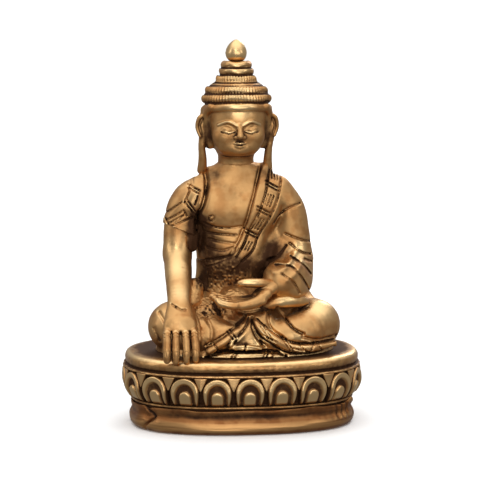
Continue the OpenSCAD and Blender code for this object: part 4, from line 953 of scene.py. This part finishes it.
def leftHandPiece():
    clay = Clay((-11.5, -17.5, 9), (10.5, -4, 21), 0.12 * coarse)
    addLimb(clay, [(8.6, -6.9, 16.6, 2.2, 1.9), (6.4, -9.0, 16.1, 2.1, 1.7), (4.4, -10.6, 15.1, 2.2, 1.4),
                   (2.8, -11.6, 14.2, 2.2, 1.2)], side=(0.3, 1, 0.4), blend=0)
    addLimb(clay, [(4.6, -12.6, 14.6, 1.0), (1.6, -13.8, 13.0, 1.1), (-1.6, -14.2, 12.3, 1.0)], blend=0.8)
    for i in range(4):
        y, z = -10.5 - 1.15 * i, 13.6 - 0.3 * i
        far = -8.1 + 0.5 * abs(i - 1)
        addLimb(clay, [(3.6, y + 0.3, z + 0.5, 0.8, 0.8), (0.6, y, z - 0.3, 0.85, 0.9), (-3.2, y - 0.1, z - 0.4, 0.8, 0.9),
                       (-6.0, y, z + 0.1, 0.75, 0.85), (far, y + 0.1, z + 0.9, 0.65, 0.7)], side=(0, 1, 0), blend=0.4)
    addLimb(clay, [(5.6, -9.6, 16.4, 1.35), (3.6, -11.0, 16.9, 1.2), (1.6, -11.6, 17.2, 1.12), (-0.4, -11.6, 17.2, 1.0),
                   (-1.4, -11.5, 17.1, 0.85)], blend=0.5)
    print("left hand massed")
    return finishClay(clay, "left_hand_in_lap", brass, grain=0.02, lumps=0.2, most=120000,
                      # these spots are painted shade in the hollow between thumb and fingers and under the fingers
                      dirtAndShade=[(0, -11.5, 15.4, 2.0, 0.7), (-3, -15, 11, 1.8, 0.3)], stipple=[(-6, -12, 14, 2.6, 0.5)],
                      # these spots are painted highlights, with wear, on the thumb and the fingertips
                      rubbedAndHighlit=[(0.6, -12.4, 17.6, 2.6, 0.9), (-6, -14, 13.6, 3, 0.5)])


def closedRings(rings, capEnds):
    # quads between rings of points, joined last to first, or capped at both ends
    count = len(rings[0])
    faces = []
    pairs = len(rings) - 1 if capEnds else len(rings)
    for j in range(pairs):
        for i in range(count):
            a, b = j * count, (j + 1) % len(rings) * count
            faces.append((a + i, a + (i + 1) % count, b + (i + 1) % count, b + i))
    if capEnds:
        faces.append(tuple(range(count - 1, -1, -1)))
        faces.append(tuple(range((len(rings) - 1) * count, len(rings) * count)))
    return faces


jewelShape = {
    # share of the height, radius in millimetres
    "profile": [(0, 1.55), (0.07, 1.95), (0.2, 2.34), (0.38, 2.5), (0.55, 2.34), (0.72, 1.92), (0.86, 1.34), (0.95, 0.76),
                (0.99, 0.36), (1.0, 0.06)],
    "sides": 96,
}


def jewelPiece(shape):
    low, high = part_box("jewel")
    top = high.z / millimetre
    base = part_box("head")[1].z / millimetre
    centreX, centreY = (low.x + high.x) / 2 / millimetre, (low.y + high.y) / 2 / millimetre
    rows = smoothPath(shape["profile"], 6)
    rings, recess, worn = [], [], []
    profile = [(base - 2.6, 0.9), (base - 0.1, 0.9)] + [(base + r[0] * (top - base), r[1] * figureScale) for r in rows]
    turns = np.linspace(0, 2 * math.pi, shape["sides"], endpoint=False)
    for z, radius in profile:
        uneven = radius * (1 + 0.012 * np.sin(3 * turns + z) + 0.008 * np.sin(5 * turns))
        rings.append(np.stack([centreX + uneven * np.cos(turns), centreY + uneven * np.sin(turns),
                               np.full(len(turns), z)], 1))
        # painted shade where the bud meets the head, and wear with painted highlight toward its top
        low01 = np.clip(1 - (z - base) / 0.7, 0, 1)
        recess += [0.95 * low01] * len(turns)
        worn += [0.6 * (1 - low01)] * len(turns)
    return makePiece("jewel_bud", np.concatenate(rings) * millimetre, closedRings(rings, True),
                     {"recess": recess, "worn": worn}, brass)


pedestalShape = {
    "sides": 480,
    "power": 2.4,
    "wall": 2.0,
    "holeRadius": 7.0,
    # inset from the widest line, height, how dark: patina on the deck, painted shade under the rim's roll and on the
    # foot
    "profile": [
        (2.7, 0.65, 1.0), (2.7, 5.9, 1.0), (2.35, 6.15, 0.9), (1.95, 6.4, 0.4), (2.05, 6.75, 0.5), (2.7, 7.1, 0.9),
        (2.3, 8, 0.9), (1.65, 9.5, 0.9), (1.35, 11, 0.9), (1.2, 12.5, 0.9), (1.1, 13.4, 0.8), (0.6, 13.75, 0.45),
        (0.34, 14.0, 0.2), (0.5, 14.3, 0.45), (1.1, 14.52, 0.95), (1.3, 14.72, 0.95), (0.95, 14.98, 0.6),
        (0.78, 15.4, 0.42), (0.74, 15.9, 0.36), (0.84, 16.4, 0.3), (1.12, 16.85, 0.1), (1.5, 17.14, 0.0),
        (2.1, 17.34, 0.3), (2.9, 17.46, 0.5), (3.8, 17.5, 0.62), (6.5, 17.5, 0.8),
    ],
    "petals": 20,
    "petalFoot": 7.0,
    "petalHeight": 6.9,
    "petalHalfWidth": 3.5,
    "petalInset": 1.05,
    "petalTuck": 1.6,  # how far a petal's foot draws in under its belly
    "lean": 0.0,
}


def planRing(halfWidth, halfDepth, inset, turns, power):
    c, s = np.cos(turns), np.sin(turns)
    x = (halfWidth - inset) * np.sign(c) * np.abs(c) ** (2 / power)
    y = (halfDepth - inset) * np.sign(s) * np.abs(s) ** (2 / power)
    return np.stack([x, y], 1)


def evenTurns(halfWidth, halfDepth, power, count):
    # turns that give points at even steps along the plan's edge
    fine = np.linspace(0, 2 * math.pi, 7201)
    ring = planRing(halfWidth, halfDepth, 0, fine, power)
    run = np.concatenate([[0], np.cumsum(np.hypot(*np.diff(ring, axis=0).T))])
    return np.interp(np.arange(count) / count * run[-1], run, fine)


def pedestalPiece(shape):
    low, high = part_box("pedestal")
    halfWidth, halfDepth = high.x / millimetre, high.y / millimetre
    turns = evenTurns(halfWidth, halfDepth, shape["power"], shape["sides"])
    top = high.z / millimetre
    rows = smoothPath(shape["profile"], 4)
    rows[:, 1] *= top / 17.5
    rings, recess = [], []
    for inset, z, dark in rows:
        plan = planRing(halfWidth, halfDepth, inset, turns, shape["power"])
        rings.append(np.column_stack([plan, np.full(len(plan), z)]))
        recess += [dark] * len(plan)
    hole = np.stack([axisX + shape["holeRadius"] * np.cos(turns), axisY + shape["holeRadius"] * np.sin(turns)], 1)
    for z in (top, top - 2.2):
        rings.append(np.column_stack([hole, np.full(len(hole), z)]))
    for inset, z in ((5.2, top - 2.2), (4.6, 9), (4.7, 0.65)):
        plan = planRing(halfWidth, halfDepth, inset, turns, shape["power"])
        rings.append(np.column_stack([plan, np.full(len(plan), z)]))
    recess += [1.0] * 5 * len(turns)
    points = np.concatenate(rings)
    recess = np.array(recess)
    outer = len(rows) * shape["sides"]
    sway = castNoise(points[:outer], 0.55, 21)[:, None] * 0.035 + castNoise(points[:outer], 1.7, 22)[:, None] * 0.03
    out = points[:outer, :2] / np.linalg.norm(points[:outer, :2], axis=1)[:, None]
    points[:outer, :2] += out * sway * np.where(np.abs(points[:outer, 2:] - 14.0) < 0.4, 2.6, 1.0)
    # lighter where the profile is less dark: wear, and a painted highlight along the rim's top
    worn = np.clip(1.1 - recess, 0, 1) ** 2 * 0.7
    piece = makePiece("pedestal_casting", points * millimetre, closedRings(rings, False),
                      {"recess": recess, "worn": worn}, brass)
    print("pedestal made")
    return piece


def reliefTile(name, heightAt, halfWidthAt, height, back, across=36, up=44):
    # a closed tile standing on the X-Z plane: its front is a relief, towards -Y
    rows = np.linspace(0, 1, up + 1) ** 0.85 * height
    columns = np.linspace(-1, 1, across + 1)
    points, recess, worn = [], [], []
    for z in rows:
        half = halfWidthAt(z)
        for u in columns:
            rise, dark = heightAt(u * half, z, abs(u))
            points.append((u * half, -rise, z))
            recess.append(dark)
            # lighter where the tile is less dark: wear, and painted highlight on its raised parts
            worn.append(np.clip(1.0 - 1.6 * dark, 0, 1) * 0.6)
    count = len(points)
    wide = across + 1
    points += [(x * 0.96, back, z) for x, y, z in points]
    recess += [1.0] * count
    worn += [0.0] * count
    faces = []
    for j in range(up):
        for i in range(across):
            a = j * wide + i
            faces.append((a, a + 1, a + wide + 1, a + wide))
            faces.append((count + a, count + a + wide, count + a + wide + 1, count + a + 1))
    rim = [i for i in range(wide)] + [j * wide + across for j in range(1, up + 1)]
    rim += [up * wide + i for i in range(across - 1, -1, -1)] + [j * wide for j in range(up - 1, 0, -1)]
    for a, b in zip(rim, rim[1:] + rim[:1]):
        faces.append((b, a, count + a, count + b))
    return makePiece(name, np.array(points) * millimetre, faces, {"recess": recess, "worn": worn}, brass)


def petalTile(shape):
    height, half = shape["petalHeight"], shape["petalHalfWidth"]
    shoulder = 3.5

    def halfWidthAt(z):
        if z < shoulder:
            return half * (0.84 + 0.16 * math.sin(z / shoulder * math.pi / 2))
        return half * math.sqrt(max(1 - ((z - shoulder) / (height - shoulder)) ** 2, 0.0004))

    def heightAt(x, z, u):
        high = max(z - shoulder, 0) / (height - shoulder)
        edge = max(u if z < shoulder else math.hypot(x / half, high), 0)
        inner = math.hypot(x / 2.35, max(z - 2.4, 0) / 2.95)
        boss = math.hypot(x / 1.45, max(z - 2.1, 0) / 1.55)
        groove = step01(1 - inner, 0.3)
        bud = step01(1 - boss, 0.3)
        rim = step01((1 - edge) - 0.035, 0.1)
        rise = 0.25 + 0.72 * rim - 0.12 * (1 - edge) - 0.66 * groove + bud * (0.5 + 0.22 * math.sqrt(max(1 - boss ** 2, 0)))
        foot = step01(z - 0.25, 0.5)
        # dark: patina in the groove round the bud, painted shade outside the rim between petals and at the petal's foot
        dark = 0.66 * groove * (1 - bud) + 0.8 * (1 - rim) + 0.35 * (1 - foot)
        tuck = shape["petalTuck"] * (1 - min(z / 3.8, 1)) ** 2
        return float(rise * (0.5 + 0.5 * foot) - tuck), float(min(dark, 1))

    return reliefTile("petalTile", heightAt, halfWidthAt, height, 2.6)


def tipTile():
    height = 3.3

    def halfWidthAt(z):
        return 1.75 * (0.05 + z / height) ** 0.85 / 1.05 ** 0.85

    def heightAt(x, z, u):
        rim = step01(1 - u - 0.06, 0.16) * step01(height - 0.1 - z, 0.2)
        # painted shade outside the raised rim, between the tips
        return float(0.1 + rim * (0.42 + 0.1 * (1 - u))), float(min(0.85 * (1 - rim) + 0.12, 1))

    return reliefTile("tipTile", heightAt, halfWidthAt, height, 1.6, across=20, up=24)


def bandTree():
    # puts a tile at even steps along a closed line, each turned with the line and leaned outwards
    tree = bpy.data.node_groups.new("petalBand", "GeometryNodeTree")
    for name, kind in (("Geometry", "NodeSocketGeometry"), ("Tile", "NodeSocketObject"), ("Count", "NodeSocketInt"),
                       ("Lean", "NodeSocketFloat"), ("Unevenness", "NodeSocketFloat"), ("Seed", "NodeSocketInt"),
                       ("Metal", "NodeSocketMaterial")):
        tree.interface.new_socket(name, in_out="INPUT", socket_type=kind)
    tree.interface.new_socket("Geometry", in_out="OUTPUT", socket_type="NodeSocketGeometry")
    given = addNode(tree, "NodeGroupInput").outputs
    line = addNode(tree, "GeometryNodeMeshToCurve", [(0, given["Geometry"])]).outputs[0]
    steps = addNode(tree, "GeometryNodeResampleCurve", [("Curve", line), ("Count", given["Count"])]).outputs[0]
    tangent = addNode(tree, "GeometryNodeInputTangent").outputs[0]
    facing = addNode(tree, "FunctionNodeAlignRotationToVector", [("Vector", tangent)], axis="X", pivot_axis="Z")
    lean = addNode(tree, "FunctionNodeAxisAngleToRotation", [("Angle", given["Lean"])], Axis=(1, 0, 0))
    turned = addNode(tree, "FunctionNodeRotateRotation",
                     [("Rotation", facing.outputs[0]), ("Rotate By", lean.outputs[0])], rotation_space="LOCAL")
    tile = addNode(tree, "GeometryNodeObjectInfo", [("Object", given["Tile"])]).outputs["Geometry"]
    spread = addNode(tree, "ShaderNodeMath", operation="SUBTRACT")
    spread.inputs[0].default_value = 1.0
    tree.links.new(given["Unevenness"], spread.inputs[1])
    size = addNode(tree, "FunctionNodeRandomValue", data_type="FLOAT")
    tree.links.new(spread.outputs[0], size.inputs[2])
    size.inputs[3].default_value = 1.0
    tree.links.new(given["Seed"], size.inputs["Seed"])
    placed = addNode(tree, "GeometryNodeInstanceOnPoints", [
        ("Points", steps), ("Instance", tile), ("Rotation", turned.outputs[0]), ("Scale", size.outputs[1])])
    solid = addNode(tree, "GeometryNodeRealizeInstances", [("Geometry", placed.outputs[0])]).outputs[0]
    done = addNode(tree, "GeometryNodeSetMaterial", [("Geometry", solid), ("Material", given["Metal"])]).outputs[0]
    addNode(tree, "NodeGroupOutput", [("Geometry", done)])
    return tree


def bandPiece(name, tree, tile, shape, height, inset, halfStep, lean, unevenness, seed):
    low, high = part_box("pedestal")
    halfWidth, halfDepth = high.x / millimetre - inset, high.y / millimetre - inset
    count = shape["petals"] * 24
    turns = evenTurns(halfWidth, halfDepth, shape["power"], count)
    ring = planRing(halfWidth, halfDepth, 0, turns, shape["power"])
    first = int(np.argmin(np.abs(ring[:, 0]) + np.where(ring[:, 1] < 0, 0, 99))) + (12 if halfStep else 0)
    ring = np.roll(ring, -first, axis=0)
    mesh = bpy.data.meshes.new(name)
    points = [(x * millimetre, y * millimetre, height * millimetre) for x, y in ring]
    mesh.from_pydata(points, [(i, (i + 1) % count) for i in range(count)], [])
    piece = bpy.data.objects.new(name, mesh)
    bpy.context.scene.collection.objects.link(piece)
    band = piece.modifiers.new("band", "NODES")
    band.node_group = tree
    sockets = {s.name: s.identifier for s in tree.interface.items_tree if s.in_out == "INPUT"}
    for key, value in (("Tile", tile), ("Count", shape["petals"]), ("Lean", math.radians(lean)),
                       ("Unevenness", unevenness), ("Seed", seed), ("Metal", brass)):
        band[sockets[key]] = value
    bakeModifiers(piece)
    bpy.data.objects.remove(tile)
    print(name, "has", len(piece.data.polygons), "faces")
    return piece


sheetShape = {
    "sides": 640,
    "thickness": 0.6,
    "outerInset": 2.05,
    "topEdge": 5.9,
}


def sheetPiece(shape):
    low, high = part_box("pedestal")
    halfWidth, halfDepth = high.x / millimetre, high.y / millimetre
    power = pedestalShape["power"]
    turns = evenTurns(halfWidth, halfDepth, power, shape["sides"])
    degrees = (np.degrees(turns) + 180) % 360 - 180  # the front is -90, the viewer's right is 0
    edge = shape["topEdge"] + 0.14 * np.sin(5 * turns + 1) + 0.1 * np.sin(11 * turns + 0.4) + 0.05 * np.sin(23 * turns)
    edge += 0.9 * np.exp(-((degrees + 21) / 4.0) ** 2) - 0.5 * np.exp(-((degrees + 148) / 2.2) ** 2)
    rings, recess, worn = [], [], []

    def addRing(inset, z, push=None, dark=0.0):
        plan = planRing(halfWidth, halfDepth, inset, turns, power)
        depth = np.zeros(len(plan)) if push is None else push
        grown = planRing(halfWidth, halfDepth, inset - 1, turns, power)
        out = grown - plan
        out /= np.linalg.norm(out, axis=1)[:, None]
        plan = plan + out * depth[:, None]
        rings.append(np.column_stack([plan, np.broadcast_to(z, len(plan))]))
        # painted shade where the sheet is pushed in, painted highlight with wear where it is pushed out
        shade = np.clip(dark - depth * 1.0, 0, 1)
        recess.extend(shade)
        worn.extend(np.clip(depth * 1.6, 0, 1))

    def folds(share):
        z = share * 5.9
        push = 0.42 * math.exp(-((z - 1.9) / 1.5) ** 2) - 0.34 * math.exp(-((z - 4.0) / 0.9) ** 2)
        push = push + 0.08 * np.sin(3 * turns + 0.8 * z) * share
        crease = -147 + 4.5 * math.sin((z - 2.4) * 1.1)
        push -= 0.75 * np.exp(-((degrees - crease) / 1.5) ** 2) * min(1, z / 1.4)
        push += 0.4 * np.exp(-((degrees + 158) / 8) ** 2) * math.exp(-((z - 3.2) / 2.4) ** 2)
        push += 0.22 * np.exp(-((degrees + 138) / 5) ** 2)
        window = np.exp(-((degrees + 33) / 8.5) ** 2) * step01(z - 2.6, 2.2)
        push += 0.36 * np.sin(np.radians(degrees * 62 + 34 * z)) * window
        push += 0.75 * np.exp(-((degrees + 20) / 4.5) ** 2) * math.exp(-((z - 5.5) / 1.1) ** 2)
        push -= 0.3 * np.exp(-((degrees + 12) / 2.4) ** 2) * step01(z - 1.5, 1.4)
        for at, slant in ((34, 2.0), (62, -3.0), (118, 2.4), (149, -2.2), (171, 1.5)):  # wrinkles at the back
            push -= 0.35 * np.exp(-((degrees - at - slant * (z - 3)) / 1.8) ** 2) * step01(z - 1.8, 2)
        lines = castNoise(np.column_stack([degrees * 0.06, np.full(len(turns), z * 1.7), turns * 0]), 1.0, 31, 3)
        return push + 0.03 * lines

    addRing(halfDepth - 1.5, 0.0, dark=0.9)
    addRing(8.0, 0.0, dark=0.8)
    addRing(4.2, 0.0, dark=0.6)
    for inset, z in ((3.0, 0.05), (2.5, 0.22), (2.2, 0.5), (2.08, 0.85)):
        addRing(inset, z, push=folds(z / 5.9) * min(1, z), dark=0.3)
    for step in range(1, 33):
        share = 0.15 + 0.85 * step / 33
        addRing(shape["outerInset"], edge * share, push=folds(share), dark=0.1 + 0.3 * step01(share - 0.7, 0.4))
    for inset, down in ((shape["outerInset"] + 0.05, 0.06), (shape["outerInset"] + 0.3, 0.0), (2.6, 0.08)):
        addRing(inset, edge - down, push=folds(1.0), dark=0.2)
    addRing(2.64, edge - 0.6, push=folds(0.9), dark=1.0)
    addRing(2.66, 3.0, dark=1.0)
    addRing(2.7, shape["thickness"], dark=1.0)
    addRing(8.0, shape["thickness"], dark=1.0)
    addRing(halfDepth - 1.5, shape["thickness"], dark=1.0)
    return makePiece("folded_base_sheet", np.concatenate(rings) * millimetre, closedRings(rings, True),
                     {"recess": recess, "worn": worn}, sheet)


def giveFinish(names, material):
    for name in names:
        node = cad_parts[name]
        if not node.material_slots:
            node.data.materials.append(material)
        for slot in node.material_slots:
            slot.material = material


giveFinish(("neck_pin", "arm_pins", "seat_wedges", "core_plugs"), pins)
giveFinish(("life_tree",), wood)
giveFinish(("seat_scrolls", "heart_scroll", "crown_scroll"), paper)
giveFinish(("bundle_tie", "heart_tie", "crown_tie"), thread)

stuffed = {
    # profile: share of the height, share of the half width; gathers: how deep the cloth is drawn in at the neck
    "cloth_pad": {"profile": [(0, 0.2), (0, 0.9), (0.08, 0.97), (0.35, 1.0), (0.66, 0.99), (0.82, 0.95), (0.92, 0.8),
                              (0.97, 0.5), (1.0, 0.2)], "power": 2.4, "gathers": 0.0, "wrinkle": 0.01, "fill": 0.5},
    "grain_bags": {"profile": [(0, 0.2), (0.01, 0.6), (0.09, 0.88), (0.3, 1.0), (0.52, 0.94), (0.68, 0.66), (0.76, 0.34),
                               (0.8, 0.27), (0.85, 0.36), (0.93, 0.52), (0.99, 0.58), (0.98, 0.4), (0.9, 0.12)],
                   "power": 2.1, "gathers": 0.16, "wrinkle": 0.03, "fill": 0.8},
    "relic_packet": {"profile": [(0, 0.2), (0.01, 0.78), (0.08, 0.94), (0.3, 1.0), (0.46, 0.97), (0.5, 0.93), (0.54, 0.97),
                                 (0.7, 1.0), (0.92, 0.94), (0.99, 0.78), (1.0, 0.2)],
                     "power": 4.0, "gathers": 0.0, "wrinkle": 0.02, "fill": 0.9},
}


def stuffedPiece(node, shape, material):
    places = np.array([v.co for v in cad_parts[node].data.vertices]) / millimetre
    middle = (places.max(0) + places.min(0)) / 2
    pair = node == "grain_bags"
    groups = [places[places[:, 0] < middle[0]], places[places[:, 0] >= middle[0]]] if pair else [places]
    turns = np.linspace(0, 2 * math.pi, 120, endpoint=False)
    points, faces = [], []
    for number, group in enumerate(groups):
        low, high = group.min(0), group.max(0)
        half, centre = (high - low) / 2, (high + low) / 2
        rings = []
        for share, wide in smoothPath(shape["profile"], 4):
            plan = planRing(half[0] * wide, half[1] * wide, 0, turns, shape["power"])
            drawn = 1 - shape["gathers"] * max(0, share - 0.4) * (1 + np.cos(14 * turns + number)) * 0.5
            z = np.clip(low[2] + share * (high[2] - low[2]), low[2], high[2])
            ring = np.column_stack([plan * drawn[:, None] + centre[:2], np.full(len(plan), z)])
            ring[:, :2] = centre[:2] + (ring[:, :2] - centre[:2]) * (
                1 - shape["wrinkle"] * np.abs(castNoise(ring, 0.7, 41)))[:, None]
            rings.append(ring)
        start = sum(len(p) for p in points)
        points += rings
        faces += [tuple(start + i for i in face) for face in closedRings(rings, True)]
    return makePiece(node + "_cloth", np.concatenate(points) * millimetre, faces, {}, material)


made = {
    "torso": torsoPiece(torsoShape),
    "legs": legsPiece(legsShape),
    "head": headPiece(headShape),
    "rightArm": rightArmPiece(armShape),
    "leftHand": leftHandPiece(),
    "jewel": jewelPiece(jewelShape),
    "pedestal": pedestalPiece(pedestalShape),
    "sheet": sheetPiece(sheetShape),
}
bandNodes = bandTree()
petalLevel = pedestalShape["petalFoot"]
made["petals"] = bandPiece("lotus_petals", bandNodes, petalTile(pedestalShape), pedestalShape, petalLevel,
                           pedestalShape["petalInset"], False, pedestalShape["lean"], 0.05, 5)
made["tips"] = bandPiece("lotus_tips", bandNodes, tipTile(), pedestalShape, petalLevel + 3.7,
                         pedestalShape["petalInset"] - 0.2, True, pedestalShape["lean"], 0.08, 8)
print("pieces made")

for key, piece in made.items():
    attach(piece, "root")
for node, material in (("cloth_pad", cotton), ("grain_bags", silk), ("relic_packet", silk)):
    piece = stuffedPiece(node, stuffed[node], material)
    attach(piece, "root")
    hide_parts(node)
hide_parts("body")
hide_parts("body")
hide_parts("head")
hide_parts("jewel")
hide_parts("right_forearm")
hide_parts("left_hand")
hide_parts("pedestal")
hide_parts("pedestal")
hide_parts("pedestal")
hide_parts("base_sheet")


def addFloor():
    material, tree, shader, place = startMaterial("studio_floor")
    shade = ranged(tree, noise(tree, place, 3.0), 0.3, 0.7, 0.985, 1.0)
    colour = addNode(tree, "ShaderNodeCombineColor", [("Red", shade), ("Green", shade), ("Blue", shade)]).outputs[0]
    tree.links.new(colour, shader.inputs["Base Color"])
    shader.inputs["Roughness"].default_value = 0.9
    shader.inputs["Specular IOR Level"].default_value = 0.1
    half = 4.0
    corners = [(-half, -half, 0), (half, -half, 0), (half, half, 0), (-half, half, 0)]
    mesh = bpy.data.meshes.new("floor")
    mesh.from_pydata(corners, [], [(0, 1, 2, 3)])
    mesh.materials.append(material)
    floor = bpy.data.objects.new("floor", mesh)
    bpy.context.scene.collection.objects.link(floor)
    floor.visible_glossy = False  # the metal mirrors the dim room below it, not the pale floor


lights = {
    # where it hangs, its width and height, power in watts, colour
    "front": ((0.02, -1.05, 0.12), (0.95, 0.55), 3.2, (1.0, 0.985, 0.96)),
    "key": ((-0.16, -0.72, 0.52), (0.20, 0.30), 0.8, (1.0, 0.985, 0.96)),
    "fill": ((0.62, -0.50, 0.30), (0.22, 0.36), 0.6, (1.0, 0.98, 0.95)),
    "rim": ((0.35, 0.70, 0.45), (0.3, 0.4), 1.2, (1.0, 1.0, 1.0)),
    "left": ((-0.70, -0.10, 0.28), (0.2, 0.4), 0.5, (1.0, 1.0, 1.0)),
}
room = {
    # how bright the room is looking down, level and up
    "below": 0.27,
    "level": 0.36,
    "above": 1.75,
}


def aim(thing, target):
    thing.rotation_euler = (target - thing.location).to_track_quat("-Z", "Y").to_euler()


def addLights(target):
    for name, (place, size, power, colour) in lights.items():
        light = bpy.data.lights.new(name, "AREA")
        light.shape = "RECTANGLE"
        light.size, light.size_y = size
        light.energy = power
        light.color = colour
        lamp = bpy.data.objects.new(name, light)
        lamp.location = place
        aim(lamp, target)
        bpy.context.scene.collection.objects.link(lamp)
    world = bpy.data.worlds.new("studio")
    world.use_nodes = True
    tree = world.node_tree
    place = addNode(tree, "ShaderNodeTexCoord").outputs["Generated"]
    split = addNode(tree, "ShaderNodeSeparateXYZ", [("Vector", place)]).outputs
    floorward = ranged(tree, split["Z"], -0.5, 0.1, room["below"], room["level"])
    lift = combine(tree, "ADD", floorward, ranged(tree, split["Z"], 0.4, 0.95, 0.0, room["above"] - room["level"]))
    tree.links.new(lift, tree.nodes["Background"].inputs["Strength"])
    tree.nodes["Background"].inputs["Color"].default_value = (1.0, 1.0, 1.0, 1.0)
    bpy.context.scene.world = world


def addCamera():
    middle = (lowCorner + highCorner) / 2
    turn, rise = math.radians(view["azimuth"]), math.radians(view["elevation"])
    across = Vector((math.cos(turn), math.sin(turn), 0))
    back = Vector((math.sin(turn) * math.cos(rise), -math.cos(turn) * math.cos(rise), math.sin(rise)))
    target = Vector((0, 0, middle.z)) + across * view["aimAside"] - Vector((0, 0, view["aimDrop"]))
    data = bpy.data.cameras.new("camera")
    data.sensor_width = 36.0
    data.lens = data.sensor_width * view["distance"] / view["frameWidth"]
    data.clip_end = 20.0
    camera = bpy.data.objects.new("camera", data)
    camera.location = target + back * view["distance"]
    aim(camera, target)
    bpy.context.scene.collection.objects.link(camera)
    bpy.context.scene.camera = camera
    return middle


addFloor()
addLights(addCamera())
bpy.context.scene.view_settings.view_transform = "Standard"
print("stage set")
